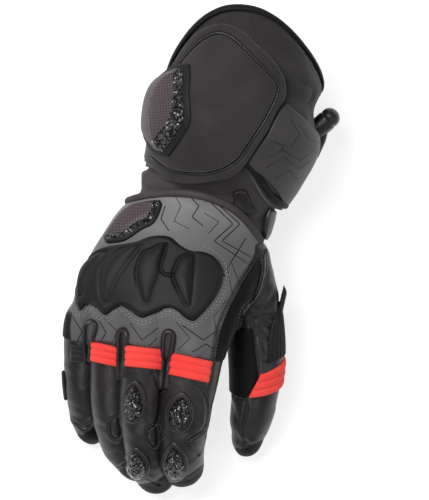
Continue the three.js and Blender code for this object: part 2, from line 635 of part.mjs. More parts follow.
// Stitched tab on the wrist, the strap loop on its thumb side, the pull tab and the little finger's pad
const wristPatch = pad(sleeveTube, [
  [[2.8, 52], [2.8, 58]], [[3.05, 49], [3.05, 68]], [[3.35, 45], [3.35, 70]],
  [[3.8, 53], [3.8, 72]], [[4.15, 59], [4.15, 75]], [[4.4, 65], [4.4, 69]],
], { rows: 5, columns: 2, low: looseClearance, high: 2.2 });
const strapLoop = pad(sleeveTube, [
  [[1.7, -16], [1.7, 14]], [[2.2, -18], [2.2, 23]], [[3, -18], [3, 27]], [[3.9, -14], [3.9, 25]],
], { rows: 4, columns: 4, low: looseClearance, high: (u) => 2.4 + 1.2 * Math.sin(Math.PI * u) })
  .subtract(thumbPlug(gap, 0.1));
const sidePad = pad(fingerTubes.little, [
  [[1.85, 158], [1.85, 172]], [[1.95, 148], [1.95, 184]], [[2.4, 148], [2.4, 184]], [[2.5, 158], [2.5, 174]],
], { rows: 4, columns: 4, high: domeTop(1.6, 1.2) });

const tabTable = [
  { out: 2.4, along: 0, half: 4.2, high: 8 }, { out: 2.2, along: 8, half: 4.2, high: 9 },
  { out: 3.6, along: 14, half: 3.6, high: 8.5 }, { out: 6.4, along: 19.5, half: 3.8, high: 7 },
  { out: 8.8, along: 23, half: 2, high: 4 },
];
function pullTab() {
  const root = cuffTube.point(2.05, -6);
  const rings = tabTable.map(({ out, along: y, half, high }) => [[-1, 0.6], [0, 1], [1, 0.6], [1, -0.6],
    [0, -1], [-1, -0.6]].map(([x, z]) => new THREE.Vector3(
    root.x + out + half * x, root.y + y - 0.35 * half * x, root.z - 4 + high * z)));
  return closedMesh(rings);
}

// Nodes with their colours, roughness and metalness
const finishes = {
  blackLeather: { color: 0x1d1c1e, roughness: 0.5, metalness: 0 },
  greyLeather: { color: 0x5b5a5e, roughness: 0.6, metalness: 0 },
  rubber: { color: 0x232325, roughness: 0.65, metalness: 0 },
  redStretch: { color: 0xf03a3c, roughness: 0.6, metalness: 0 },
  carbon: { color: 0x2b282b, roughness: 0.25, metalness: 0.2 },
  softShell: { color: 0x262629, roughness: 0.7, metalness: 0 },
};
const materials = Object.fromEntries(Object.entries(finishes)
  .map(([name, finish]) => [name, new THREE.MeshStandardMaterial({ name, ...finish })]));

const glove = new THREE.Group();
function add(name, solid, finish) {
  const { vertProperties, triVerts } = solid.getMesh();
  const geometry = new THREE.BufferGeometry();
  geometry.setAttribute('position', new THREE.BufferAttribute(vertProperties, 3));
  geometry.setIndex(new THREE.BufferAttribute(triVerts, 1));
  geometry.computeVertexNormals();
  const mesh = new THREE.Mesh(geometry, materials[finish]);
  mesh.name = name;
  glove.add(mesh);
}

add('hand_back', largest(handBack), 'greyLeather');
add('hand_palm', largest(handPalm), 'blackLeather');
for (const name of fingerOrder) add(`finger_${name}`, stallSolid(name), 'blackLeather');
add('thumb', largest(thumbSolid()), 'blackLeather');
add('wrist_sleeve', sleeve, 'blackLeather');
add('cuff_shell', cuffZone(0), 'softShell');
add('rim_binding', largest(rimBinding()), 'blackLeather');
add('back_binding', largest(backBinding(0).subtract(handPlug(gap))), 'blackLeather');
add('hem_binding', hemBinding, 'blackLeather');
add('cuff_panel', cuffPanel, 'greyLeather');
add('closure_flap', closureFlap, 'softShell');
add('flap_piping', flapPiping, 'blackLeather');
add('flap_bezel', pad(cuffTube, spread(flapSliderTable, 0.1, 4), {
  rows: 7, columns: 6, low: flapFace + looseClearance, high: flapFace + looseClearance + bezelThick,
}), 'rubber');
add('flap_slider', pad(cuffTube, flapSliderTable, {
  rows: 7, columns: 6, low: flapSeat, high: slopeTop(flapSeat + 0.6, 3.6),
}), 'carbon');
add('knuckle_guard', knuckleGuard, 'rubber');
add('back_bezel', pad(handTube, spread(backSliderTable, 0.12, 3),
  { rows: 6, columns: 4, high: wrapClearance + bezelThick }), 'blackLeather');
add('back_slider', pad(handTube, backSliderTable,
  { rows: 6, columns: 4, low: seat, high: slopeTop(seat + 0.6, 2.6) }), 'carbon');
for (const name of fingerOrder) {
  add(`stretch_${name}`, largest(take(fingerBand(name), [handZone, ...overlying(name, gap)])),
    name === 'little' ? 'blackLeather' : 'redStretch');
}
add('stretch_thumb', thumbBand, 'redStretch');
for (const [name, row] of Object.entries(bridgeTable)) {
  add(`bridge_${name}`, bridge(name, row), 'blackLeather');
}
for (const [name, row] of Object.entries(sliderTable)) {
  const tube = fingerTubes[row.finger];
  add(`bezel_${name}`, pad(tube, drop(row, 0.32),
    { rows: 5, columns: 4, high: wrapClearance + bezelThick }), 'blackLeather');
  add(`slider_${name}`, pad(tube, drop(row, 0),
    { rows: 5, columns: 4, low: seat, high: domeTop(seat + 0.5, sliderHeight) }), 'carbon');
}
add('little_side_pad', sidePad, 'rubber');
add('thumb_front_panel', thumbFront, 'blackLeather');
add('thumb_side_panel', thumbSide, 'rubber');
add('wrist_patch', wristPatch, 'blackLeather');
add('strap_loop', strapLoop, 'blackLeather');
add('pull_tab', take(pullTab(), [plug(cuffTube, 0, 4, 8, around, gap),
  plug(cuffTube, 0, 2.1, 4, around, panelFace + gap)]), 'blackLeather');

// The frame: the origin is on the ground under the middle of the glove
const box = new THREE.Box3().setFromObject(glove);
const middle = box.getCenter(new THREE.Vector3());
glove.position.set(-middle.x, -middle.y, -box.min.z);

export default glove;
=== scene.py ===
# Long-cuff motorcycle glove, right hand, lying palm down. Leather skins are lofted through short tables
# of sections, and the panels, guard, sliders and threads are laid on them.
# Lengths are in millimetres until a mesh is made. A place on the upper side is given in pixels of the
# camera's frame and dropped from the camera onto the skin below it.
import math
import bpy
import bmesh
import numpy as np
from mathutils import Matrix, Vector
from mathutils.bvhtree import BVHTree
from mathutils.kdtree import KDTree


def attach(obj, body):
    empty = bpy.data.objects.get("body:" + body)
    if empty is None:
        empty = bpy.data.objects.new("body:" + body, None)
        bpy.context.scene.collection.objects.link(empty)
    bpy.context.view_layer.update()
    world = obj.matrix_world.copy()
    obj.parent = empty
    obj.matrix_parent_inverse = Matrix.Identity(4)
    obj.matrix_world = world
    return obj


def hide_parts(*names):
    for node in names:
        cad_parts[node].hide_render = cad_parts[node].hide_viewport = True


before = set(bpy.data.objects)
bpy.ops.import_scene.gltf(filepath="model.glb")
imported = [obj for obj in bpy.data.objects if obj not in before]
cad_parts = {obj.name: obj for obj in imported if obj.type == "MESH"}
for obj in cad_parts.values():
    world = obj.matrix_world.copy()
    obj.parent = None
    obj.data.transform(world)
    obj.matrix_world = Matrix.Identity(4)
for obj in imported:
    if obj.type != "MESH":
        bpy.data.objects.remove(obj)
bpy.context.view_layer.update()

view = {
    "pixel": 0.56,                  # millimetres that one pixel covers at the plane's height
    "plane": 45.0,
    "middle": (214.5, 250.0),       # the frame's middle, in pixels
    "eye": (9.017, 0.61, 2545.0),      # the camera, straight above
}
shift = np.array([3.7, 22.45, 0.0])  # from the wrist's middle to the frame's origin


# Numbers and curves
def table(*rows):
    return np.array(rows, float)


# Values at stations t on a curve through rows, straight on past both ends
def curveThrough(rows, t):
    rows = np.asarray(rows, float)
    t = np.asarray(t, float)
    last = len(rows) - 1
    i = np.clip(np.floor(t).astype(int), 0, last - 1)
    wider = (Ellipsis,) + (None,) * (rows.ndim - 1)
    f, first, end = (t - i)[wider], (i == 0)[wider], (i + 2 > last)[wider]
    b, c = rows[i], rows[i + 1]
    a = np.where(first, 2 * b - c, rows[np.maximum(i - 1, 0)])
    d = np.where(end, 2 * c - b, rows[np.minimum(i + 2, last)])
    smooth = b + 0.5 * f * (c - a + f * (2 * a - 5 * b + 4 * c - d + f * (3 * (b - c) + d - a)))
    return np.where((f < 0) | (f > 1), b + (c - b) * f, smooth)


def unit(vectors):
    return vectors / np.maximum(np.linalg.norm(vectors, axis=-1, keepdims=True), 1e-9)


def mix(a, b, f):
    return a + (b - a) * f


# A path, smooth through its corners if asked, and the length from its start to each of its points
def measured(path, smooth=True):
    path = np.asarray(path, float)
    if smooth:
        path = curveThrough(path, np.linspace(0, len(path) - 1, 24 * (len(path) - 1) + 1))
    return path, np.concatenate([[0], np.cumsum(np.linalg.norm(np.diff(path, axis=0), axis=1))])


def pointsAt(spots, path, lengths):
    return np.column_stack([np.interp(spots, lengths, path[:, k]) for k in range(path.shape[1])])


# An even run of points along a path
def resample(path, step, smooth=True, closed=False):
    path, lengths = measured(np.vstack([path, path[:1]]) if closed else path, smooth)
    count = max(int(round(lengths[-1] / step)), 2) + 1
    even = pointsAt(np.linspace(0, lengths[-1], count), path, lengths)
    return even[:-1] if closed else even


# Points along a path, at given shares of its length or so many evenly
def resampleTo(path, count):
    path, lengths = measured(path)
    share = count if isinstance(count, np.ndarray) else np.linspace(0, 1, count)
    return pointsAt(share * lengths[-1], path, lengths)


# Distance from points to a path of straight pieces
def distanceTo(points, path, closed=False):
    path = np.asarray(path, float)
    starts = path if closed else path[:-1]
    ends = np.roll(path, -1, axis=0) if closed else path[1:]
    shape = points.shape[:-1]
    flat = points.reshape(-1, points.shape[-1])
    best = np.full(len(flat), 1e9)
    for a, b in zip(starts, ends):
        along = b - a
        f = np.clip(((flat - a) @ along) / max(along @ along, 1e-12), 0, 1)
        best = np.minimum(best, np.linalg.norm(flat - a - f[:, None] * along, axis=1))
    return best.reshape(shape)


def insideOf(points, path):
    path = np.asarray(path, float)
    flat = points.reshape(-1, 2)
    inside = np.zeros(len(flat), bool)
    for (x0, y0), (x1, y1) in zip(path, np.roll(path, -1, axis=0)):
        crosses = (y0 > flat[:, 1]) != (y1 > flat[:, 1])
        at = x0 + (flat[:, 1] - y0) / (y1 - y0 if y1 != y0 else 1e-9) * (x1 - x0)
        inside ^= crosses & (flat[:, 0] < at)
    return inside.reshape(points.shape[:-1])


# Signed distance to a closed outline, positive inside
def depthIn(points, outline):
    return np.where(insideOf(points, outline), 1, -1) * distanceTo(points, outline, closed=True)


# A quarter round at an edge: 0 at the edge, 1 from width inwards
def roundedEdge(d, width):
    f = np.clip(d / width, 0, 1)
    return np.sqrt(1 - (1 - f) ** 2)


def bell(d, width):
    return np.exp(-(d / width) ** 2)


def easeIn(f):
    f = np.clip(f, 0, 1)
    return f * f * (3 - 2 * f)


# Soft random relief: a few turned waves whose phases bend each other
def ripple(points, length, seed):
    rng = np.random.default_rng(seed)
    value = np.zeros(points.shape[:-1])
    for k in range(5):
        direction = unit(rng.normal(size=3))
        across = unit(rng.normal(size=3))
        phase = rng.uniform(0, 6.28)
        bend = 1.3 * np.sin(points @ across / (length * 0.31) + phase)
        value += np.sin(points @ direction / (length * (0.13 + 0.04 * k)) + bend + phase)
    return value / 5


# Leather tubes
class Tube:
    def __init__(self, centre, side, up, halfWidth, halfHeight, floor=None, square=2.0, reach=0.0):
        self.centre, self.side, self.up = np.array(centre), np.array(side), np.array(up)
        self.halfWidth, self.halfHeight = np.array(halfWidth), np.array(halfHeight)
        self.floor = np.zeros(len(self.centre)) if floor is None else np.array(floor)
        self.square, self.reach = square, reach
        self.last = len(self.centre) - 1

    # Points at stations and angles, offset out of the leather. The ground flattens what reaches it.
    def point(self, station, angle, offset=0.0):
        t, v, out = np.broadcast_arrays(np.asarray(station, float), np.asarray(angle, float),
                                        np.asarray(offset, float))
        domed = (self.reach > 0) & (t > self.last)
        u = np.where(domed, self.last, t)
        centre = curveThrough(self.centre, u)
        side = unit(curveThrough(self.side, u))
        up = curveThrough(self.up, u)
        up = unit(up - side * np.sum(up * side, axis=-1, keepdims=True))
        wide = curveThrough(self.halfWidth, u) + out
        high = curveThrough(self.halfHeight, u) + out
        turn = np.where(domed, np.minimum(t - self.last, 1) * math.pi / 2, 0)
        ahead = unit(centre - curveThrough(self.centre, u - 0.05))
        centre = centre + ahead * ((self.reach + out) * np.sin(turn))[..., None]
        wide, high = wide * np.cos(turn), high * np.cos(turn)
        c, s = np.cos(np.radians(v)), np.sin(np.radians(v))
        bend = 2 / self.square
        p = (centre + side * (wide * np.sign(c) * np.abs(c) ** bend)[..., None]
             + up * (high * np.sign(s) * np.abs(s) ** bend)[..., None])
        ground = np.maximum(curveThrough(self.floor, u), 0) - out
        p[..., 2] = np.maximum(p[..., 2], ground)
        return p

    def section(self, t, offset):
        t = np.array([float(t)])
        return (curveThrough(self.centre, t)[0], curveThrough(self.side, t)[0], curveThrough(self.up, t)[0],
                curveThrough(self.halfWidth, t)[0] + offset, curveThrough(self.halfHeight, t)[0] + offset,
                max(curveThrough(self.floor, t)[0], 0) - offset)


def tubeThrough(sections, **shape):
    centre, side, up, wide, high, floor = zip(*sections)
    return Tube(centre, side, up, wide, high, floor, **shape)


def turned(lean, roll):
    l, r = math.radians(lean), math.radians(roll)
    side = (math.cos(r) * math.cos(l), -math.cos(r) * math.sin(l), math.sin(r))
    up = (-math.sin(r) * math.cos(l), math.sin(r) * math.sin(l), math.cos(r))
    return np.array(side), np.array(up)


hand = {"length": 77, "width": 92, "thickness": 46, "wristHeight": 31, "knuckleHeight": 47, "end": 7}
handSections = [  # along, side, rise, width, thick, lean, roll
    (-0.10, 0.03, -0.03, 0.83, 1.10, 20, 0), (0.00, 0.00, 0.00, 0.84, 1.00, 22, 0),
    (0.09, -0.04, 0.12, 0.88, 1.00, 21, 2), (0.19, -0.08, 0.31, 0.96, 1.00, 19, 5),
    (0.33, -0.14, 0.56, 1.01, 1.00, 17, 8), (0.49, -0.21, 0.81, 1.04, 0.98, 15, 11),
    (0.65, -0.28, 0.97, 1.04, 0.94, 12.5, 14), (0.82, -0.32, 1.00, 1.03, 0.84, 11, 16),
    (1.00, -0.36, 0.94, 0.98, 0.62, 9.5, 18),
]
cuff = {"length": 64, "width": 95, "depth": 87, "sink": 2.9, "hem": 12.9, "backReach": 35.5, "wall": 2.8}
cuffSections = [  # along, side, rise, width, depth, lean, floor, reach
    (0.00, 0.05, 0.81, 0.85, 0.64, 18, 0, 0), (0.18, 0.115, 0.88, 0.91, 0.86, 13, 0, 0),
    (0.46, 0.175, 0.98, 0.99, 0.98, 9, 0, 0), (0.74, 0.18, 1.00, 0.93, 1.00, 7, 2.5, 0),
    (1.00, 0.24, 1.00, 0.89, 0.98, 5, 7, 0), (1.00, 0.22, 0.93, 0.68, 0.93, 4, 7, 1),
]
fingers = {  # each bone: length, heading, pitch, width at its end
    "index": {"root": 1.34, "side": 0.01, "along": 0.68, "lift": 0.21, "width": 30, "depth": 26,
              "tip": 15.2, "roll": 4,
              "bones": [(15, 14, 2, 32.5), (43, 10.5, 5.5, 29), (29, 6.5, 29, 26), (16.5, -3, 57, 24.5)]},
    "middle": {"root": 1.3, "side": -0.32, "along": 0.62, "lift": 0.2, "width": 25, "depth": 25.5,
               "tip": 14, "roll": -4,
               "bones": [(15, 8, 4, 25), (44, 5.5, 8, 24.5), (33.5, -6, 28.5, 24), (23, -18.5, 55, 23)]},
    "ring": {"root": 1.26, "side": -0.55, "along": 0.6, "lift": 0.045, "width": 24, "depth": 24,
             "tip": 13.6, "roll": -8,
             "bones": [(15, 4, 8, 24), (46, 1, 14, 23.5), (29, -10, 33, 22.5), (16.5, -33, 35.5, 20.5)]},
    "little": {"root": 1.33, "side": -0.74, "along": 0.62, "lift": -0.15, "width": 17, "depth": 20.5,
               "tip": 13.6, "roll": -12, "rise": 1.5,
               "bones": [(13, 3, 12, 21), (35.5, 0.5, 19.5, 20.5), (22, -6.5, 32.5, 20.5),
                         (8.5, -14, 29, 19.5)]},
}
thumb = {"side": 0.13, "along": 0.14, "lift": -0.21, "width": 36, "depth": 27, "tip": 14, "roll": 0,
         "bones": [(19, -20, -3, 37), (28, -17.5, 6, 30.4), (25.5, -5, 9, 29.8), (23.5, 2.4, 15, 26.6),
                   (19, 8.5, 28, 23), (8.5, 10, 32.5, 18.5)]}


def makeHandTube():
    sections = []
    for along, side, rise, width, thick, lean, roll in handSections:
        across, up = turned(lean, roll)
        centre = np.array([side * hand["width"], -along * hand["length"],
                           mix(hand["wristHeight"], hand["knuckleHeight"], rise)]) + shift
        sections.append((centre, across, up, width * hand["width"] / 2, thick * hand["thickness"] / 2, 0))
    return tubeThrough(sections, square=2.15, reach=hand["end"])


def makeCuffTube():
    sections = []
    for along, side, rise, width, depth, lean, floor, reach in cuffSections:
        across, up = turned(lean, 0)
        centre = np.array([side * cuff["width"], cuff["hem"] + along * cuff["length"]
                           + reach * cuff["backReach"], rise * cuff["depth"] / 2 - cuff["sink"]]) + shift
        sections.append((centre, across, up, width * cuff["width"] / 2, depth * cuff["depth"] / 2, floor))
    return tubeThrough(sections, square=2.25)


def makeStall(finger):
    joints = [np.array([finger["side"] * hand["width"], -finger["along"] * hand["length"],
                        hand["knuckleHeight"] + finger["lift"] * hand["thickness"]]) + shift]
    directions = []
    for length, heading, pitch, width in finger["bones"]:
        h, p = math.radians(heading), math.radians(pitch)
        directions.append(np.array([-math.sin(h) * math.cos(p), -math.cos(h) * math.cos(p), -math.sin(p)]))
        joints.append(joints[-1] + directions[-1] * length)
    sections = []
    for i, centre in enumerate(joints):
        before, after = directions[max(i - 1, 0)], directions[min(i, len(directions) - 1)]
        ahead = unit(before + after)
        flat = unit(np.cross([0, 0, 1], ahead))
        roll = -math.radians(finger["roll"])
        side = flat * math.cos(roll) + np.cross(ahead, flat) * math.sin(roll)
        wide = finger["bones"][i - 1][3] if i else finger["width"]
        high = finger["depth"] / 2 * mix(1, min(wide / finger["width"], 1), 0.6)
        sections.append((centre, side, np.cross(ahead, side), wide / 2, high, 0))
    return tubeThrough(sections, square=2.1, reach=finger["tip"])


handTube = makeHandTube()
cuffTube = makeCuffTube()
stallTubes = {name: makeStall(finger) for name, finger in fingers.items()}
thumbTube = makeStall(thumb)
sleeveTube = tubeThrough([handTube.section(t, -2.4) for t in (2.7, 2, 1, 0)]
                         + [cuffTube.section(t, -3.8) for t in (0, 0.875, 1.75)], square=2.2)


def wristAt(angle):
    return 2.0 - 2.2 * np.maximum(0, np.sin(np.radians(angle + 4))) ** 1.6


def mouthAt(angle):
    s = np.sin(np.radians(angle))
    return np.where(s > 0, 4 + s, 4 + 0.48 * s)


def hemAt(angle):
    return 1.1 * np.exp(-((angle - 86) / 31) ** 2)


# Stations and angles at shares u along a pad's table and w across its rows
def spotsOn(rows, u, w):
    across = np.stack([curveThrough(row, w * (rows.shape[1] - 1)) for row in rows])
    spots = curveThrough(across, u * (len(rows) - 1))
    return spots[..., 0], spots[..., 1]


# Meshes
def makeObject(name, verts, faces, materials):
    mesh = bpy.data.meshes.new(name)
    mesh.from_pydata((np.asarray(verts) * 0.001).tolist(), [], [list(f) for f in faces])
    for material in materials:
        mesh.materials.append(material)
    obj = bpy.data.objects.new(name, mesh)
    bpy.context.scene.collection.objects.link(obj)
    tidy = bmesh.new()
    tidy.from_mesh(mesh)
    bmesh.ops.remove_doubles(tidy, verts=tidy.verts, dist=2e-6)
    bmesh.ops.recalc_face_normals(tidy, faces=tidy.faces)
    tidy.to_mesh(mesh)
    tidy.free()
    mesh.polygons.foreach_set("use_smooth", [True] * len(mesh.polygons))
    return obj


def gridFaces(rows, columns, wrapRows=False, wrapColumns=False):
    i = np.arange(rows if wrapRows else rows - 1)
    j = np.arange(columns if wrapColumns else columns - 1)
    i, j = np.meshgrid(i, j, indexing="ij")
    i2, j2 = (i + 1) % rows, (j + 1) % columns
    corners = [i * columns + j, i * columns + j2, i2 * columns + j2, i2 * columns + j]
    return np.stack(corners, -1).reshape(-1, 4)


# A closed sheet from its upper and under side, both grids of one size
def closedSheet(upper, under):
    rows, columns = upper.shape[:2]
    count = rows * columns
    verts = np.vstack([upper.reshape(-1, 3), under.reshape(-1, 3)])
    top = gridFaces(rows, columns)
    faces = [top, top[:, ::-1] + count]
    ring = np.concatenate([np.arange(columns - 1), np.arange(rows - 1) * columns + columns - 1,
                           (rows - 1) * columns + np.arange(columns - 1, 0, -1),
                           np.arange(rows - 1, 0, -1) * columns])
    after = np.roll(ring, -1)
    faces.append(np.stack([after, ring, ring + count, after + count], -1))
    return verts, np.vstack(faces)


def normalsOf(grid, outside):
    du = np.gradient(grid, axis=0)
    dv = np.gradient(grid, axis=1)
    n = unit(np.cross(du, dv))
    if np.sum(n * outside) < 0:
        n = -n
    return n


def blurred(grid, times):
    for _ in range(times):
        inner = grid.copy()
        inner[1:-1, 1:-1] = (grid[1:-1, 1:-1] * 4 + grid[:-2, 1:-1] + grid[2:, 1:-1]
                             + grid[1:-1, :-2] + grid[1:-1, 2:]) / 8
        grid = inner
    return grid


# Dropping places from the camera onto a skin
def toPixels(points):
    eye = np.array(view["eye"])
    m = (view["eye"][2] - view["plane"]) / (view["eye"][2] - points[..., 2])
    x = view["middle"][0] + (points[..., 0] - eye[0]) * m / view["pixel"]
    y = view["middle"][1] - (points[..., 1] - eye[1]) * m / view["pixel"]
    return np.stack([x, y], -1)


def toPlane(pixels):
    pixels = np.asarray(pixels, float)
    return np.stack([view["eye"][0] + (pixels[..., 0] - view["middle"][0]) * view["pixel"],
                     view["eye"][1] - (pixels[..., 1] - view["middle"][1]) * view["pixel"],
                     np.full(pixels.shape[:-1], view["plane"])], -1)


def dropOn(skin, pixels):
    plane = toPlane(pixels)
    eye = Vector(view["eye"])
    out = np.empty(plane.shape)
    ways = np.empty(plane.shape)
    flat, found, normals = plane.reshape(-1, 3), out.reshape(-1, 3), ways.reshape(-1, 3)
    for k in range(len(flat)):
        target = Vector(flat[k])
        spot, normal, _, _ = skin.ray_cast(eye, (target - eye).normalized())
        if spot is None:
            spot, normal, _, _ = skin.find_nearest(target)
        found[k] = spot
        normals[k] = normal
    return out, ways


def skinOf(objects):
    verts, faces = [], []
    for obj in objects:
        mesh = obj.data
        start = len(verts)
        verts += [v.co * 1000 for v in mesh.vertices]
        faces += [[start + k for k in face.vertices] for face in mesh.polygons]
    return BVHTree.FromPolygons(verts, faces)


# Spacing for a patch's shares, closer together at both ends
def shares(count, closer=0.6):
    f = np.linspace(0, 1, count)
    return mix(f, (1 - np.cos(f * math.pi)) / 2, closer)


# A patch laid on a skin between two paths in pixels. height(d, u, w, pixels) is the upper side's, where d
# is the distance in millimetres from the patch's outline.
def patchOn(skin, first, second, rows, columns, height, low=-0.5, soften=3, closer=0.6):
    u, w = shares(columns, closer), shares(rows, closer)
    a, b = resampleTo(first, u), resampleTo(second, u)
    pixels = a[None] * (1 - w[:, None, None]) + b[None] * w[:, None, None]
    outline = np.vstack([a, b[::-1]])
    d = distanceTo(pixels, outline[::2], closed=True) * view["pixel"]
    spots, facing = dropOn(skin, pixels)
    spots = blurred(spots, soften)
    n = normalsOf(spots, np.broadcast_to([0, 0, 1.0], spots.shape))
    n = unit(blurred(n, 4))
    uu, ww = np.meshgrid(u, w)
    h = height(d, uu, ww, pixels)
    return closedSheet(spots + n * h[..., None], spots + n * low)


# The same on a tube, through a pad's table. across is the pad's size in millimetres along u and w.
def padOn(tube, rows, size, counts, height, low=0.2, closer=0.6):
    u, w = shares(counts[0], closer), shares(counts[1], closer)
    t, v = spotsOn(rows, u, w)
    base = tube.point(t, v)
    n = normalsOf(base, base - curveThrough(tube.centre, t))
    u, w = np.meshgrid(u, w, indexing="ij")
    d = np.minimum(np.minimum(u, 1 - u) * size[0], np.minimum(w, 1 - w) * size[1])
    h = height(d, u, w)
    return closedSheet(base + n * h[..., None], base + n * low)


# Stations and angles on a tube of places in pixels, for what stands lift above it
def onTube(tube, pixels, lift=0.0):
    t, v = np.meshgrid(np.linspace(-0.8, tube.last, 300), np.arange(-12, 193, 0.8), indexing="ij")
    seen = toPixels(tube.point(t, v, lift)).reshape(-1, 2)
    tree = KDTree(len(seen))
    for k, (x, y) in enumerate(seen):
        tree.insert((x, y, 0), k)
    tree.balance()
    found = [tree.find((x, y, 0))[1] for x, y in pixels]
    return [(t.reshape(-1)[k], v.reshape(-1)[k]) for k in found]


# Places on a tube between four edges of [station, angle]: at u 0, at u 1, at w 0 and at w 1
def between(first, last, start, end):
    def edge(rows):
        rows = curveThrough(np.array(rows, float), np.linspace(0, len(rows) - 1, 200))
        steps = np.linalg.norm(np.diff(rows * [20, 0.8], axis=0), axis=1)
        share = np.concatenate([[0], np.cumsum(steps)]) / steps.sum()
        return lambda f: np.stack([np.interp(f, share, rows[:, 0]), np.interp(f, share, rows[:, 1])], -1)
    b, t, l, r = edge(first), edge(last), edge(start), edge(end)

    def place(u, w):
        u, w = np.broadcast_arrays(np.asarray(u, float), np.asarray(w, float))
        x, y = u[..., None], w[..., None]
        both = (1 - x) * b(w) + x * t(w) + (1 - y) * l(u) + y * r(u)
        corners = ((1 - x) * (1 - y) * b(0.0) + (1 - x) * y * b(1.0) + x * (1 - y) * t(0.0) + x * y * t(1.0))
        spot = both - corners
        return spot[..., 0], spot[..., 1]
    return place


# A pad laid on a tube by place(u, w), with height(d, outline, above): the distance from the named edges,
# the distance from the whole outline and the places 3 mm above the tube.
def padBetween(tube, place, counts, height, low=0.3, edges=("first", "last", "start", "end")):
    u, w = np.meshgrid(shares(counts[0]), shares(counts[1]), indexing="ij")
    t, v = place(u, w)
    base = tube.point(t, v)
    n = normalsOf(base, base - curveThrough(tube.centre, t))
    lines = {"first": base[0], "last": base[-1], "start": base[:, 0], "end": base[:, -1]}
    d = np.min([distanceTo(base, lines[name][::2]) for name in edges], axis=0)
    outline = np.min([distanceTo(base, line[::2]) for line in lines.values()], axis=0)
    h = height(d, outline, base + 3 * n)
    return closedSheet(base + n * h[..., None], base + n * low)


def merged(parts):
    verts, faces, start = [], [], 0
    for v, f in parts:
        verts.append(v)
        faces += [tuple(int(k) + start for k in face) for face in f]
        start += len(v)
    return np.vstack(verts), faces


def stationsAt(at, angles):
    return at(angles) if callable(at) else np.full(len(angles), float(at))


# Rings on a tube from one station to another, or on over its round end
def loft(tube, start, rings, around, offset=None, domeRings=14, end=None):
    angles = np.arange(around) * 360 / around
    f = np.linspace(0, 1, rings + 1)[:, None]
    t = stationsAt(start, angles) * (1 - f) + (tube.last if end is None else end) * f
    if tube.reach > 0 and end is None:
        dome = tube.last + np.linspace(0, 1, domeRings + 1)[1:, None] ** 0.8
        t = np.vstack([t, np.broadcast_to(dome, (domeRings, around))])
    v = np.broadcast_to(angles, t.shape)
    return tube.point(t, v, 0.0 if offset is None else offset(t))


def closedLoft(points, capEnd=False):
    rings, around = points.shape[:2]
    verts = points.reshape(-1, 3)
    faces = [tuple(f) for f in gridFaces(rings, around, wrapColumns=True)]
    faces.append(tuple(range(around)))
    if capEnd:
        faces.append(tuple((rings - 1) * around + k for k in range(around)))
    return verts, faces


# Colours and materials
def linear(code):
    parts = [int(code[i:i + 2], 16) / 255 for i in (1, 3, 5)]
    return [c / 12.92 if c <= 0.04045 else ((c + 0.055) / 1.055) ** 2.4 for c in parts] + [1.0]


def addNode(tree, kind, inputs=None, **settings):
    node = tree.nodes.new(kind)
    for key, value in settings.items():
        setattr(node, key, value)
    for key, value in (inputs or {}).items():
        socket = next(s for k, s in enumerate(node.inputs) if s.enabled and key in (s.name, k))
        if isinstance(value, bpy.types.NodeSocket):
            tree.links.new(value, socket)
        else:
            socket.default_value = value
    return node


def newMaterial(name):
    material = bpy.data.materials.new(name)
    material.use_nodes = True
    tree = material.node_tree
    tree.nodes.clear()
    shader = addNode(tree, "ShaderNodeBsdfPrincipled")
    addNode(tree, "ShaderNodeOutputMaterial", {"Surface": shader.outputs[0]})
    return material, tree, shader


# Two tones in soft clouds
def cloudy(tree, place, dark, light, scale, detail, low, high):
    clouds = addNode(tree, "ShaderNodeTexNoise", {"Vector": place, "Scale": scale, "Detail": detail})
    patches = addNode(tree, "ShaderNodeMapRange", {"Value": clouds.outputs["Fac"], "From Min": low,
                                                   "From Max": high})
    return addNode(tree, "ShaderNodeMix", {"Factor": patches.outputs["Result"], "A": linear(dark),
                                           "B": linear(light)}, data_type="RGBA").outputs["Result"]


# Painted shade: the base colour goes nearly black by this share where the attribute "seam" is 1
def paintGrooveShade(tree, shader, colour, share, dark="#060506"):
    seam = addNode(tree, "ShaderNodeAttribute", attribute_name="seam")
    shade = addNode(tree, "ShaderNodeMath", {0: seam.outputs["Fac"], 1: share}, operation="MULTIPLY")
    shaded = addNode(tree, "ShaderNodeMix", {"Factor": shade.outputs[0], "A": colour, "B": linear(dark)},
                     data_type="RGBA")
    tree.links.new(shaded.outputs["Result"], shader.inputs["Base Color"])


# Corrected-grain cowhide, drum dyed and finished: fine pebbled grain, soft shine on the crowns. The grain
# is drawn at 0.9 mm, a little coarser than real, so that it shows.
def leatherMaterial(name, dark, light, roughness, shine=0.4, grain=0.9, bump=0.25):
    material, tree, shader = newMaterial(name)
    place = addNode(tree, "ShaderNodeTexCoord").outputs["Object"]
    cells = addNode(tree, "ShaderNodeTexVoronoi", {"Vector": place, "Scale": 1000 / grain},
                    feature="DISTANCE_TO_EDGE")
    pores = addNode(tree, "ShaderNodeTexNoise", {"Vector": place, "Scale": 1000 / (3 * grain), "Detail": 3.0})
    paintGrooveShade(tree, shader, cloudy(tree, place, dark, light, 55.0, 3.0, 0.3, 0.7), 0.75)
    relief = addNode(tree, "ShaderNodeMath", {0: cells.outputs["Distance"], 1: pores.outputs["Fac"]},
                     operation="ADD")
    lift = addNode(tree, "ShaderNodeBump", {"Height": relief.outputs[0], "Strength": bump,
                                            "Distance": 0.0003})
    tree.links.new(lift.outputs[0], shader.inputs["Normal"])
    wear = addNode(tree, "ShaderNodeMapRange", {"Value": pores.outputs["Fac"], "To Min": roughness - 0.06,
                                                "To Max": roughness + 0.1})
    tree.links.new(wear.outputs["Result"], shader.inputs["Roughness"])
    shader.inputs["Specular IOR Level"].default_value = shine
    return material


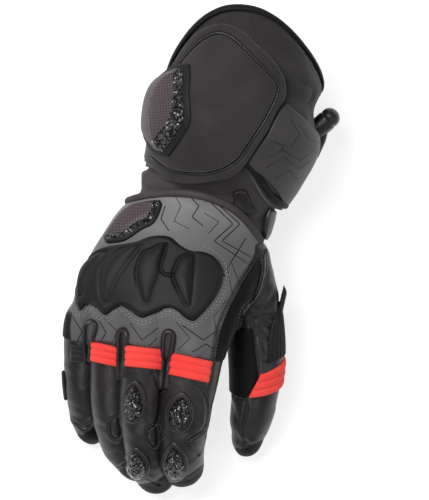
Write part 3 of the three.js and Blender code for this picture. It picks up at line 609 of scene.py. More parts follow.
print("materials")
blackLeather = leatherMaterial("blackCowhide", "#201d1f", "#2c282b", 0.36, shine=0.5)
# Also laid over the finger and thumb tips, where its darker colour is partly painted shade
palmLeatherAndTipShade = leatherMaterial("mattPalmCowhide", "#0e0c0d", "#151314", 0.5, shine=0.12)
trimLeather = leatherMaterial("mattTrimLeather", "#151315", "#1c191b", 0.6, shine=0.18)
sleeveLeather = leatherMaterial("mattSleeveLeather", "#3a3639", "#484346", 0.62, shine=0.3)


# Light grey polyester thread, slightly sheened so that each stitch catches the light
def threadMaterial(name, colour, sheen=0.3):
    material, tree, shader = newMaterial(name)
    shader.inputs["Base Color"].default_value = linear(colour)
    shader.inputs["Roughness"].default_value = 0.55
    shader.inputs["Sheen Weight"].default_value = sheen
    return material


# Woven stretch nylon, bonded over foam: a cross weave, no shine, a soft bloom at grazing angles. The weave
# is drawn at 3 to 4.5 mm, coarser than real, so that it shows: a wave node has 20 radians to the unit, so its
# bands are 2 pi / 20 / scale metres apart.
def wovenMaterial(name, dark, light, roughness=0.82, scale=1000 / 14, bump=0.3, sheen=0.35):
    material, tree, shader = newMaterial(name)
    place = addNode(tree, "ShaderNodeTexCoord").outputs["Object"]
    bands = {"Vector": place, "Scale": scale, "Distortion": 0.4}
    across = addNode(tree, "ShaderNodeTexWave", bands, bands_direction="X")
    along = addNode(tree, "ShaderNodeTexWave", bands, bands_direction="Y")
    threads = addNode(tree, "ShaderNodeMath", {0: across.outputs["Fac"], 1: along.outputs["Fac"]},
                      operation="MULTIPLY")
    paintGrooveShade(tree, shader, cloudy(tree, place, dark, light, 45.0, 4.0, 0.35, 0.68), 0.75)
    lift = addNode(tree, "ShaderNodeBump", {"Height": threads.outputs[0], "Strength": bump,
                                            "Distance": 0.0002})
    tree.links.new(lift.outputs[0], shader.inputs["Normal"])
    shader.inputs["Roughness"].default_value = roughness
    shader.inputs["Specular IOR Level"].default_value = 0.3
    shader.inputs["Sheen Weight"].default_value = sheen
    return material


# Injection-moulded thermoplastic rubber, spark-eroded mould: matt with a broad soft shine
def rubberMaterial(name, colour, roughness):
    material, tree, shader = newMaterial(name)
    place = addNode(tree, "ShaderNodeTexCoord").outputs["Object"]
    specks = addNode(tree, "ShaderNodeTexNoise", {"Vector": place, "Scale": 2600.0, "Detail": 2.0})
    lift = addNode(tree, "ShaderNodeBump", {"Height": specks.outputs["Fac"], "Strength": 0.12,
                                            "Distance": 0.0002})
    tree.links.new(lift.outputs[0], shader.inputs["Normal"])
    paintGrooveShade(tree, shader, linear(colour), 1.0, "#070607")
    shader.inputs["Roughness"].default_value = roughness
    shader.inputs["Specular IOR Level"].default_value = 0.3
    return material


# Carbon cloth under clear lacquer: 1.1 mm squares of two tones. Where it is cut through, each fibre end
# faces its own way and sparkles; these are drawn at 0.9 mm, far coarser than real, so that they show.
def carbonMaterial(name, dark, light, scatter):
    material, tree, shader = newMaterial(name)
    place = addNode(tree, "ShaderNodeTexCoord").outputs["Object"]
    turn = addNode(tree, "ShaderNodeMapping", {"Vector": place, "Rotation": (0.0, 0.0, 0.7),
                                               "Scale": (1000 / 1.1, 1000 / 1.1, 60.0)})
    squares = addNode(tree, "ShaderNodeTexChecker", {"Vector": turn.outputs[0], "Scale": 1.0,
                                                     "Color1": linear(dark), "Color2": linear(light)})
    ends = addNode(tree, "ShaderNodeTexVoronoi", {"Vector": place, "Scale": 1000 / 0.9})
    tilt = addNode(tree, "ShaderNodeVectorMath", {0: ends.outputs["Color"], 1: (0.5, 0.5, 0.5)},
                   operation="SUBTRACT")
    tilted = addNode(tree, "ShaderNodeVectorMath", {0: tilt.outputs[0], "Scale": scatter}, operation="SCALE")
    facing = addNode(tree, "ShaderNodeNewGeometry").outputs["Normal"]
    bent = addNode(tree, "ShaderNodeVectorMath", {0: facing, 1: tilted.outputs[0]}, operation="ADD")
    even = addNode(tree, "ShaderNodeVectorMath", {0: bent.outputs[0]}, operation="NORMALIZE")
    tree.links.new(squares.outputs["Color"], shader.inputs["Base Color"])
    tree.links.new(even.outputs[0], shader.inputs["Normal"])
    cutThrough = scatter > 0.5
    shader.inputs["Roughness"].default_value = 0.22 if cutThrough else 0.5
    shader.inputs["Specular IOR Level"].default_value = 0.8 if cutThrough else 0.3
    return material


# The hand's grey leather ends at the seam, where the attribute "grey" passes zero. It is a little lighter
# towards the wrist.
def printedLeather():
    material = leatherMaterial("greyPrintedCowhide", "#575557", "#615f61", 0.5, bump=0.15)
    tree = material.node_tree
    shader = next(n for n in tree.nodes if n.type == "BSDF_PRINCIPLED")
    old = shader.inputs["Base Color"].links[0].from_socket
    place = addNode(tree, "ShaderNodeSeparateXYZ", {0: addNode(tree, "ShaderNodeTexCoord").outputs["Object"]})
    rise = addNode(tree, "ShaderNodeMapRange", {"Value": place.outputs["Y"], "From Min": -0.006,
                                                "From Max": 0.022, "To Min": 0.0, "To Max": 0.3})
    lighter = addNode(tree, "ShaderNodeMix", {"Factor": rise.outputs["Result"], "A": old,
                                              "B": linear("#a3a2a3")}, data_type="RGBA")
    depth = addNode(tree, "ShaderNodeAttribute", attribute_name="grey")
    inside = addNode(tree, "ShaderNodeMapRange", {"Value": depth.outputs["Fac"], "From Min": -0.1,
                                                  "From Max": 0.1})
    both = addNode(tree, "ShaderNodeMix", {"Factor": inside.outputs["Result"], "A": linear("#1a181a"),
                                           "B": lighter.outputs["Result"]}, data_type="RGBA")
    tree.links.new(both.outputs["Result"], shader.inputs["Base Color"])
    return material


handLeather = printedLeather()
cuffLeather = leatherMaterial("greyPrintedPanel", "#373537", "#423f41", 0.5, bump=0.15)
softShell = wovenMaterial("bondedSoftshell", "#2c292b", "#383437", sheen=0.15)
stretchFabric = wovenMaterial("redRibbedStretch", "#ff453d", "#ff5048", scale=100, bump=0.2, sheen=0.1)
blackStretch = wovenMaterial("blackRibbedStretch", "#161517", "#1d1c1e", scale=100)
rubber = rubberMaterial("mouldedRubber", "#171517", 0.58)
carbon = carbonMaterial("lacqueredCarbonCloth", "#3f3638", "#5a4d50", 0.06)
# Dark copy: on slider bevels, partly the cut edge's own look, partly painted shade on slopes turned from the
# light
cutCarbonAndBevelShade = carbonMaterial("cutCarbonEdge", "#0d0b0c", "#1b1718", 1.6)
greyThread = threadMaterial("greyBondedThread", "#8f8c8e")
darkThread = threadMaterial("darkBondedThread", "#4a484a")
# Screen ink, printed on the leather: flat and a little darker than what it lies on
printInk = threadMaterial("darkScreenInk", "#171517", sheen=0.0)


# Pieces and their ties to the frame
pieces = []


def finishPiece(obj, nodes=(), slot="black_leather", padding=None):
    pieces.append((obj, nodes, slot, padding))
    return obj


def bake(obj):
    depsgraph = bpy.context.evaluated_depsgraph_get()
    mesh = bpy.data.meshes.new_from_object(obj.evaluated_get(depsgraph))
    obj.modifiers.clear()
    obj.data = mesh


def vertexPlaces(obj):
    co = np.empty(len(obj.data.vertices) * 3)
    obj.data.vertices.foreach_get("co", co)
    normals = np.empty(len(obj.data.vertices) * 3)
    obj.data.vertices.foreach_get("normal", normals)
    return co.reshape(-1, 3) * 1000, normals.reshape(-1, 3)


def movePlaces(obj, places):
    obj.data.vertices.foreach_set("co", (places * 0.001).reshape(-1))
    obj.data.update()


def setAttribute(obj, name, values):
    attribute = obj.data.attributes.get(name) or obj.data.attributes.new(name, "FLOAT", "POINT")
    attribute.data.foreach_set("value", np.asarray(values, float))


def thicken(obj, thickness):
    solid = obj.modifiers.new("thickness", "SOLIDIFY")
    solid.thickness = thickness * 0.001
    solid.offset = -1
    bake(obj)


def smoothLine(values, times=3):
    for _ in range(times):
        values = np.vstack([values[:1], (values[:-2] + 2 * values[1:-1] + values[2:]) / 4, values[-1:]])
    return values


# Points and normals along a path in pixels, dropped on a skin
def lay(skin, path, step=1.0, smooth=True, lift=0.0):
    pixels = resample(path, step / view["pixel"], smooth)
    spots, ways = dropOn(skin, pixels)
    ways = unit(smoothLine(ways, 4))
    return spots + ways * lift, ways


# Where a dropped path jumps from one skin to a lower one, it parts there
def unbroken(points, normals, jump=2.0, least=5):
    breaks = np.nonzero(np.linalg.norm(np.diff(points, axis=0), axis=1) > jump)[0] + 1
    runs = zip(np.split(points, breaks), np.split(normals, breaks))
    return [(p, n) for p, n in runs if len(p) >= least]


def layRuns(skin, path, step=0.8, lift=0.0):
    return [p for p, _ in unbroken(*lay(skin, path, step, lift=lift))]


# Grooves pressed into a skin along paths in pixels, with the leather swelling beside them
# shade is painted shade: it sets the attribute "seam", which darkens the base colour along the groove
def groove(obj, skin, paths, width=0.9, depth=0.7, swell=0.35, shade=1.0):
    press(obj, [run for path in paths for run in layRuns(skin, path, 1.0)], width, depth, swell, shade)


def press(obj, runs, width=0.9, depth=0.7, swell=0.35, shade=1.0):
    places, normals = vertexPlaces(obj)
    nearest = np.full(len(places), 1e9)
    for spots in runs:
        low, high = spots.min(0) - 8, spots.max(0) + 8
        near = np.all((places > low) & (places < high), axis=1)
        nearest[near] = np.minimum(nearest[near], distanceTo(places[near], spots))
    fall = -depth * bell(nearest, width) + swell * bell(nearest - 2.6 * width, 1.5 * width)
    movePlaces(obj, places + normals * fall[:, None])
    old = np.zeros(len(places))
    attribute = obj.data.attributes.get("seam")
    if attribute:
        attribute.data.foreach_get("value", old)
    setAttribute(obj, "seam", np.maximum(old, shade * bell(nearest, 0.75 * width)))


# A strip along points on a skin. section: heights across it, from one edge to the other.
def strip(points, normals, width, section, low=-0.3):
    section = np.asarray(section, float)
    across = unit(np.cross(normals, unit(np.gradient(points, axis=0))))
    side = np.linspace(-0.5, 0.5, len(section)) * width
    base = points[None] + across[None] * side[:, None, None]
    return closedSheet(base + normals[None] * section[:, None, None], base + normals[None] * low)


def halfRound(height, count=9):
    return height * np.sqrt(np.maximum(0, 1 - np.linspace(-1, 1, count) ** 2))


def offsetPath(path, distance):
    path = np.asarray(path, float)
    along = unit(np.gradient(path, axis=0))
    return path + np.stack([along[:, 1], -along[:, 0]], -1) * distance


def addPiece(name, parts, materials, nodes=(), slot="black_leather", padding=None):
    return finishPiece(makeObject(name, *merged(parts), materials), nodes, slot, padding)


# Repeated stitches along paths: each is a small stretched ball turned along the path
def makeStitchTree():
    tree = bpy.data.node_groups.new("stitchRun", "GeometryNodeTree")
    tree.interface.new_socket("Path", in_out="INPUT", socket_type="NodeSocketGeometry")
    for name in ("Step", "Length", "Thickness"):
        tree.interface.new_socket(name, in_out="INPUT", socket_type="NodeSocketFloat")
    tree.interface.new_socket("Thread", in_out="INPUT", socket_type="NodeSocketMaterial")
    tree.interface.new_socket("Stitches", in_out="OUTPUT", socket_type="NodeSocketGeometry")
    given = addNode(tree, "NodeGroupInput")
    curve = addNode(tree, "GeometryNodeMeshToCurve", {"Mesh": given.outputs["Path"]})
    even = addNode(tree, "GeometryNodeResampleCurve", {"Curve": curve.outputs["Curve"],
                                                       "Length": given.outputs["Step"]}, mode="LENGTH")
    tangent = addNode(tree, "GeometryNodeInputTangent")
    turn = addNode(tree, "FunctionNodeAlignRotationToVector", {"Vector": tangent.outputs[0]}, axis="X")
    ball = addNode(tree, "GeometryNodeMeshUVSphere", {"Segments": 8, "Rings": 5, "Radius": 0.5})
    size = addNode(tree, "ShaderNodeCombineXYZ", {"X": given.outputs["Length"],
                                                  "Y": given.outputs["Thickness"],
                                                  "Z": given.outputs["Thickness"]})
    spots = addNode(tree, "GeometryNodeInstanceOnPoints", {
        "Points": even.outputs["Curve"], "Instance": ball.outputs["Mesh"],
        "Rotation": turn.outputs["Rotation"], "Scale": size.outputs[0]})
    real = addNode(tree, "GeometryNodeRealizeInstances", {"Geometry": spots.outputs["Instances"]})
    dressed = addNode(tree, "GeometryNodeSetMaterial", {"Geometry": real.outputs["Geometry"],
                                                        "Material": given.outputs["Thread"]})
    addNode(tree, "NodeGroupOutput", {"Stitches": dressed.outputs["Geometry"]})
    return tree


stitchTree = makeStitchTree()


def stitchRun(name, paths, thread, step, length, thickness):
    verts, edges = [], []
    for path in paths:
        start = len(verts)
        verts += (np.asarray(path) * 0.001).tolist()
        edges += [(start + k, start + k + 1) for k in range(len(path) - 1)]
    mesh = bpy.data.meshes.new(name)
    mesh.from_pydata(verts, edges, [])
    obj = bpy.data.objects.new(name, mesh)
    bpy.context.scene.collection.objects.link(obj)
    run = obj.modifiers.new("stitches", "NODES")
    run.node_group = stitchTree
    given = {"Step": step * 0.001, "Length": length * 0.001, "Thickness": thickness * 0.001, "Thread": thread}
    for item in stitchTree.interface.items_tree:
        if item.in_out == "INPUT" and item.name in given:
            run[item.identifier] = given[item.name]
    bake(obj)
    finishPiece(obj)


# Hand: one skin over the palm, the back and the finger roots
print("hand")
hands = {"voxel": 1.05, "smoothing": 14, "wall": 1.6, "rings": 70, "around": 150,
         "sunk": -4.5, "proud": 1.1,    # how far a finger's root lies in the hand, and stands out of it
         "capsFrom": -30, "nearWrist": 1.0, "nearRoots": 2.4}  # what is further from the walls is a cap
greyZone = [
    (133, 198), (142, 191), (160, 186), (175, 185), (193, 188), (212, 197), (233, 211), (248, 226),
    (260, 240), (260, 247), (250, 265), (239, 283), (227, 306), (218, 329), (214, 350), (212, 363),
    (172, 355), (162, 350), (126, 347), (117, 349), (92, 343), (84, 346), (71.5, 346), (70.5, 328),
    (72, 313), (60, 304), (40, 290), (60, 230), (110, 190),
]


def makeHandSkin():
    def rootOffset(finger):
        return lambda t: mix(hands["sunk"], hands["proud"], easeIn(t / finger.get("rise", 0.75)))
    lofts = [loft(handTube, wristAt, hands["rings"], hands["around"])]
    lofts += [loft(stallTubes[name], 0.0, 40, 80, rootOffset(finger), end=finger["root"])
              for name, finger in fingers.items()]
    solids = [closedLoft(points, capEnd=k > 0) for k, points in enumerate(lofts)]
    sides = [(points.reshape(-1, 3), gridFaces(*points.shape[:2], wrapColumns=True)) for points in lofts]
    skin = makeObject("handSkin", *merged(solids), [blackLeather])
    remesh = skin.modifiers.new("remesh", "REMESH")
    remesh.mode = "VOXEL"
    remesh.voxel_size = hands["voxel"] * 0.001
    bake(skin)
    relax = skin.modifiers.new("relax", "SMOOTH")
    relax.factor = 0.5
    relax.iterations = hands["smoothing"]
    bake(skin)
    # the caps at the wrist and at the fingers' roots are opened
    verts, faces = merged(sides)
    walls = BVHTree.FromPolygons([Vector(v) for v in verts], [list(f) for f in faces])
    places, _ = vertexPlaces(skin)
    away = np.array([walls.find_nearest(Vector(p))[3] for p in places])
    doomed = away > np.where(places[:, 1] > hands["capsFrom"], hands["nearWrist"], hands["nearRoots"])
    mesh = bmesh.new()
    mesh.from_mesh(skin.data)
    mesh.verts.ensure_lookup_table()
    bmesh.ops.delete(mesh, geom=[mesh.verts[int(k)] for k in np.nonzero(doomed)[0]], context="VERTS")
    mesh.to_mesh(skin.data)
    mesh.free()
    return skin


handSkin = makeHandSkin()
handBVH = skinOf([handSkin])


def makeStallSkin(name, tube, start, rings=104, around=96, offset=None):
    points = loft(tube, start, rings, around, offset, domeRings=20)
    return makeObject(name, points.reshape(-1, 3), gridFaces(*points.shape[:2], wrapColumns=True),
                      [blackLeather])


stalls = {name: makeStallSkin(name + "Finger", stallTubes[name], finger["root"] - 0.12)
          for name, finger in fingers.items()}
thumbSkin = makeStallSkin("thumbStall", thumbTube, 0.15, 132, 110,
                          lambda t: mix(-4.0, 0, easeIn((t - 0.2) / 0.9)))
stallBVH = {name: skinOf([obj]) for name, obj in stalls.items()}
thumbBVH = skinOf([thumbSkin])

# seams of the hand, the fingers and the thumb, as paths in pixels
handSeams = [
    [(260, 247), (250, 265), (239, 283), (227, 306), (218, 329), (214, 350), (212, 361)],
]
fingerSeams = {
    "index": [[(167.9, 375), (167, 388), (161, 392), (157.7, 406), (157.7, 421), (162, 435)],
              [(194, 381.6), (201.7, 389), (206.8, 400.8), (206.8, 414.8), (204, 427.5), (195, 435),
               (187.6, 440.3)],
              [(212, 361), (209, 384), (206, 400)],
              [(205.5, 430), (189, 440.3), (194, 450.5), (203, 458)],
              [(157, 446.7), (167, 437.8)]],
    "middle": [[(126.4, 371.4), (117.5, 383), (117.5, 408.4), (120, 421)],
               [(152, 372.7), (160, 389), (159.6, 397), (157, 421), (148, 429)],
               [(148, 428.8), (155.8, 426.3), (157, 444), (153.9, 446.7), (148, 440.3), (148, 428.8)],
               [(147, 478), (159.6, 484.7)]],
    "ring": [[(109.8, 421.2), (118, 418), (120, 436.5), (111.8, 435.8), (109.8, 421.2)],
             [(112.4, 471), (125, 463)]],
    "little": [[(71.6, 420), (84.3, 427.6), (93.3, 421)]],
}
thumbSeams = [
    [(254, 330), (258, 357), (259, 380), (254, 389), (244.5, 398)],
    [(229, 393), (238, 399), (245, 401), (246, 410), (243, 422), (243.6, 433), (246, 444)],
]
thumbFolds = [
    [(256, 311), (266, 306), (274, 296)], [(254, 319), (264, 316), (273, 317)],
    [(254, 325), (262, 330), (269, 339)],
    [(256, 334), (262, 341), (266, 352)], [(262, 322), (269, 325), (273, 331)],
    [(240, 386), (248, 383), (256, 384)],
]
# Painted shade: groove() darkens the colour along the seams fully and along the thumb's folds by 0.4
groove(handSkin, handBVH, handSeams)
for name, seams in fingerSeams.items():
    groove(stalls[name], stallBVH[name], seams, width=0.8, depth=0.6)
groove(thumbSkin, thumbBVH, thumbSeams)
groove(thumbSkin, thumbBVH, thumbFolds, width=1.5, depth=1.1, swell=0.4, shade=0.4)

# soft unevenness, deeper on the black leather
wrinkles = {"hand": (16, 0.22, 3), "fingers": (9, 0.3, 5), "thumb": (11, 0.45, 8)}


def soften(obj, length, height, seed):
    places, normals = vertexPlaces(obj)
    movePlaces(obj, places + normals * (height * ripple(places, length, seed))[:, None])


soften(handSkin, *wrinkles["hand"])
for stall in stalls.values():
    soften(stall, *wrinkles["fingers"])
soften(thumbSkin, *wrinkles["thumb"])

places, normals = vertexPlaces(handSkin)
pixels = toPixels(places)
grey = np.minimum(depthIn(pixels, greyZone) * view["pixel"], (normals[:, 2] + 0.25) * 15)
setAttribute(handSkin, "grey", grey)


# The hand's skin parts into the grey back and the black palm
def partHand():
    back = handSkin
    back.name = "handBack"
    palm = handSkin.copy()
    palm.data = handSkin.data.copy()
    palm.name = "handPalm"
    bpy.context.scene.collection.objects.link(palm)
    for obj, keepsGrey in ((back, True), (palm, False)):
        mesh = bmesh.new()
        mesh.from_mesh(obj.data)
        layer = mesh.verts.layers.float["grey"]
        gone = [f for f in mesh.faces if (max(v[layer] for v in f.verts) > -0.7) != keepsGrey]
        bmesh.ops.delete(mesh, geom=gone, context="FACES")
        mesh.to_mesh(obj.data)
        mesh.free()
    for obj, leather in ((back, handLeather), (palm, palmLeatherAndTipShade)):
        obj.data.materials.clear()
        obj.data.materials.append(leather)
    for obj in (back, palm):
        thicken(obj, hands["wall"])
    return back, palm


handBack, handPalm = partHand()
finishPiece(handBack, ("hand_back",), "grey_leather", 0.3)
finishPiece(handPalm, ("hand_palm",), "black_leather", 0.3)
# Tips beyond these lines take the darker palm leather: partly the real wrap, partly painted shade
tipShadeLines = {  # the palm's leather comes up over the tip, as far as this line in pixels
    "index": [(160, 487), (174, 481), (190, 474), (206, 462)],
    "middle": [(120, 475), (140, 484), (155, 482), (170, 470)],
    "ring": [(100, 468), (118, 470), (135, 464)], "little": [(65, 432), (84, 434), (96, 426)],
    "thumb": [(225, 446), (243, 449), (262, 440), (275, 424)],
}


# Faces for which test(centres in pixels) is true take the piece's second material
def repaint(obj, test):
    centres = np.array([face.center for face in obj.data.polygons]) * 1000
    chosen = test(toPixels(centres))
    obj.data.polygons.foreach_set("material_index", chosen.astype(int).tolist())


def beyondLine(rows):
    return lambda pixels: pixels[..., 1] > np.interp(pixels[..., 0], *np.transpose(rows))


for name, stall in list(stalls.items()) + [("thumb", thumbSkin)]:
    thicken(stall, 1.7)
    stall.data.materials.append(palmLeatherAndTipShade)
    # painted shade, in part: the tips take the darker palm leather
    repaint(stall, beyondLine(tipShadeLines[name]))
    finishPiece(stall, ("thumb" if name == "thumb" else "finger_" + name,), "black_leather", 0.4)

# Cuff
print("cuff")
cuffs = {"rings": 78, "around": 210, "puff": 0.5}


def wallOf(tube, fromAt, toAt, rings, around, thickness, relief):
    angles = np.arange(around) * 360 / around
    f = np.linspace(0, 1, rings)[:, None]
    t = stationsAt(fromAt, angles) * (1 - f) + stationsAt(toAt, angles) * f
    v = np.broadcast_to(angles, t.shape)
    outer, inner = tube.point(t, v, relief(t, v)), tube.point(t, v, -thickness)
    count = rings * around
    verts = np.vstack([outer.reshape(-1, 3), inner.reshape(-1, 3)])
    grid = gridFaces(rings, around, wrapColumns=True)
    j = np.arange(around)
    j2 = (j + 1) % around
    last = (rings - 1) * around
    ends = [np.stack([j2, j, j + count, j2 + count], -1),
            np.stack([last + j, last + j2, last + j2 + count, last + j + count], -1)]
    return verts, np.vstack([grid, grid[:, ::-1] + count] + ends)


def cuffRelief(t, v):
    puff = ripple(np.stack([t * 16, v * 0.6, 0 * t], -1), 18, 4)
    return cuffs["puff"] * puff * (np.sin(np.radians(v)) > -0.6)


cuffShell = addPiece("cuffShell", [wallOf(cuffTube, hemAt, mouthAt, cuffs["rings"], cuffs["around"],
                                          cuff["wall"], cuffRelief)], [softShell], ("cuff_shell",),
                     "soft_shell", 0.5)
cuffBVH = skinOf([cuffShell])


# Stations x millimetres outwards from the mouth's edge, less on its upper side
def fromMouth(angles, x):
    top = mouthAt(angles)
    x = x * (1 - (0.6 if x < 0 else 0.2) * bell(angles - 95, 60))
    perStation = 10 * np.linalg.norm(cuffTube.point(top, angles) - cuffTube.point(top - 0.1, angles), axis=1)
    return top + x / perStation


mouthAngles = np.linspace(-40, 220, 160)
# Painted shade: the groove under the mouth's binding is darkened fully
press(cuffShell, [cuffTube.point(fromMouth(mouthAngles, -6.0), mouthAngles)], 0.9, 0.9, 0.5)
cuffFolds = {"besideFlap": [(288, 86), (300, 91), (314, 97)], "belowMouth": [(262, 34), (284, 52), (298, 70)]}
# Painted shade: the hollow beside the flap is darkened as a deep shadow, the fold below the mouth a little
groove(cuffShell, cuffBVH, [cuffFolds["besideFlap"]], width=7.0, depth=2.6, swell=0.2, shade=0.8)
groove(cuffShell, cuffBVH, [cuffFolds["belowMouth"]], width=6.0, depth=0.8, swell=0.6, shade=0.15)


# The sleeve bags out on the little finger's side
def sleeveRelief(t, v):
    bag = 5.2 * bell(t - 2.9, 0.95) * bell(v - 176, 40)
    return bag + 0.5 * ripple(np.stack([t * 14, v * 0.5, 0 * t], -1), 12, 6)


addPiece("wristSleeve", [wallOf(sleeveTube, 0, sleeveTube.last, 70, 170, 1.8, sleeveRelief)],
         [sleeveLeather], ("wrist_sleeve",), "black_leather", 0.4)


# The mouth's binding: folded leather over the edge
def makeRim():
    angles = np.arange(240) * 1.5
    outside = [(-5.2, 0.2), (-5.0, 1.1), (-4.2, 1.7), (-2, 1.9), (0, 1.8), (1.5, 1.1), (2.1, -0.2),
               (2.1, -2.4),
               (1.5, -4.0), (0, -4.6), (-4.2, -4.5), (-5.0, -4.1), (-5.2, -3.2), (-3, -2.95), (-0.4, -2.95),
               (0.0, -1.4), (-0.4, 0.1), (-3, 0.15)]
    rings = [cuffTube.point(fromMouth(angles, x), angles, y) for x, y in outside]
    grid = np.stack(rings)
    verts = grid.reshape(-1, 3)
    return verts, gridFaces(len(outside), len(angles), wrapRows=True, wrapColumns=True)


addPiece("rimBinding", [makeRim()], [trimLeather], ("rim_binding",))


def edgeOn(tube, at, start, end, width, height):
    v = np.linspace(start, end, 180)
    t = at(v)
    base = tube.point(t, v, 0.25)
    n = unit(tube.point(t, v, 1.25) - base)
    return strip(base, n, width, halfRound(height, 11), low=-0.1)


addPiece("backBinding", [edgeOn(handTube, lambda v: wristAt(v) + 0.26, 26, 215, 4.6, 1.7)], [sleeveLeather],
         ("back_binding",))
addPiece("hemBinding", [edgeOn(cuffTube, lambda v: hemAt(v) + 0.22, -152, 80, 4.5, 1.6)], [trimLeather],
         ("hem_binding",))

panel = {
    "hem": [(246, 165), (254.5, 170.5), (263, 176.5), (273, 186.5), (283, 202)],
    "mouth": [(286, 102.5), (294, 110), (302, 117.5), (310, 126), (316.5, 134)],
    "flap": [(246, 165), (259, 145), (272, 124), (286, 102.5)],
    "under": [(0.3, -15), (1.9, -15)],  # on the tube
}
panelPlace = between(onTube(cuffTube, panel["hem"]) + panel["under"][:1],
                     onTube(cuffTube, panel["mouth"]) + panel["under"][1:],
                     onTube(cuffTube, panel["flap"]), panel["under"])
cuffPanel = addPiece("cuffPanel", [padBetween(cuffTube, panelPlace, (60, 100),
                                              lambda d, edge, above: 0.4 + 1.1 * roundedEdge(edge, 1.4))],
                     [cuffLeather], ("cuff_panel",), "grey_leather", 0.3)

# the closure flap, with its rolled border
flaps = {
    "face": 3.4, "roll": 0.9, "lift": 3,
    "hem": [(153, 168), (163, 175.5), (182, 180.5), (201, 180), (218, 178), (231, 175), (240, 170.5)],
    "mouth": [(169, 68), (180, 51), (192, 35.5), (206, 26.7), (221, 23.5), (234, 26.5), (247.5, 35),
              (258.5, 44.5), (276, 63), (286, 79)],
    "thumbSide": [(240, 170.5), (248, 162), (262, 140), (276, 116.5), (285, 101), (288, 90), (286, 79)],
    "under": [(0.62, 206), (1.15, 206), (1.75, 206), (2.4, 205), (3, 203), (3.35, 200)],  # on the tube
}
flapPlace = between(flaps["under"][:1] + onTube(cuffTube, flaps["hem"], flaps["lift"]),
                    flaps["under"][-1:] + onTube(cuffTube, flaps["mouth"], flaps["lift"]),
                    flaps["under"], onTube(cuffTube, flaps["thumbSide"], flaps["lift"]))
# the piping's path
flapSeam = [
    (177.5, 66), (185, 56), (193.5, 46.6), (201.7, 39.7), (210, 34.9), (219.5, 32.9), (229.5, 36),
    (241.4, 45.2), (255, 58.9), (268.8, 73.3), (277.2, 82), (278.4, 91), (273.6, 104), (263.4, 123.3),
    (252.4, 139.7), (241.4, 156.2), (234.6, 163), (221, 170.5), (207, 174), (193.5, 174.2), (180, 173),
    (170, 170.5), (160.6, 165.5), (151, 158),
]
flapField = resample(flapSeam + [(120, 160), (120, 66)], 2, smooth=False, closed=True)


def flapHeight(d, edge, above):
    inner = depthIn(toPixels(above), flapField) * view["pixel"]
    share = d / np.maximum(d - np.minimum(inner, 0), 0.1)
    roll = flaps["roll"] * np.sqrt(np.maximum(0, 1 - (2 * share - 1) ** 2)) * (inner < 0)
    field = flaps["roll"] * roundedEdge(inner - 0.5, 2.6)
    slim = 1 - 0.4 * easeIn((172 - toPixels(above)[..., 0]) / 26)
    return 0.4 + slim * ((flaps["face"] - 0.9) * roundedEdge(edge, 2.4) + roll + field)


closureFlap = addPiece("closureFlap", [padBetween(cuffTube, flapPlace, (134, 134), flapHeight,
                                                  edges=("first", "last", "end"))],
                       [softShell], ("closure_flap",), "soft_shell", 0.5)
flapBVH = skinOf([closureFlap])


pipingSpots, pipingWays = lay(flapBVH, flapSeam, 0.8)
# the groove under the piping, with painted shade darkening it
press(closureFlap, [pipingSpots], 1.0, 0.9, 0.0)
pipingSpots = smoothLine(pipingSpots, 4) - 0.4 * pipingWays
addPiece("flapPiping", [strip(pipingSpots, pipingWays, 1.5, halfRound(0.9))], [blackLeather],
         ("flap_piping",))

# its hard slider: a ridge near the right, a lit slope on the left
flapSliderTable = table(
    [[1.15, 136], [1.15, 143]], [[1.45, 131], [1.45, 157]], [[1.8, 126], [1.8, 177]],
    [[2.2, 122], [2.2, 189]], [[2.7, 123], [2.7, 190]], [[3.2, 127], [3.2, 175]],
    [[3.65, 132], [3.65, 155]], [[3.9, 136], [3.9, 143]])


def spread(rows, stations, degrees):
    rows = np.array(rows)
    last = len(rows) - 1
    for i in range(len(rows)):
        rows[i, :, 0] += stations * (2 * i / last - 1)
        rows[i, 0, 1] -= degrees
        rows[i, 1, 1] += degrees
    return rows


def flapSliderHeight(d, u, w):
    slope = np.where(w < 0.42, w / 0.42, 1 - 0.8 * (w - 0.42) / 0.58)
    return 4.4 + 0.8 * roundedEdge(d, 0.8) + 2.9 * slope * np.minimum(1, 6 * np.minimum(u, 1 - u))


addPiece("flapBezel", [padOn(cuffTube, spread(flapSliderTable, 0.13, 5), (52, 50), (90, 60),
                             lambda d, u, w: 3.4 + 1.5 * roundedEdge(d, 1.6), low=2.6)],
         [rubber], ("flap_bezel",), "moulded_rubber")
flapSlider = addPiece("flapSlider", [padOn(cuffTube, flapSliderTable, (46, 42), (90, 70), flapSliderHeight,
                                           low=4.0, closer=0.2)], [carbon, cutCarbonAndBevelShade], ("flap_slider",),
                      "carbon_weave")
# Right of the ridge the slider takes the dark copy: partly painted shade on the slope turned from the light
flapBevelShade = [(174, 60), (173, 72), (172.5, 104), (168, 120), (154, 138), (150, 142), (170, 160), (200, 120),
             (195, 60)]
repaint(flapSlider, lambda pixels: insideOf(pixels, flapBevelShade))

# The back of the hand
print("back")


leafTop = [
    (106.5, 239), (108.6, 234.6), (119.2, 219.3), (127.5, 210.6), (134.5, 206.8), (150, 203.6),
    (160, 202.8),
]
leafLow = [
    (107, 240.2), (109.4, 241), (124.3, 238.2), (140.4, 227.9), (151.8, 222), (157.6, 211.8), (160, 203.4),
]


def leafHeight(d, u, w, pixels):
    bevel = np.clip(distanceTo(pixels, resample(leafLow, 1)) * view["pixel"] / 4.6, 0, 1)
    return 0.9 + 0.5 * roundedEdge(d, 0.6) + 1.4 * bevel


backSlider = addPiece("backSlider", [patchOn(handBVH, leafTop, leafLow, 50, 80, leafHeight, closer=0.2)],
                      [carbon, cutCarbonAndBevelShade], ("back_slider",), "carbon_weave")

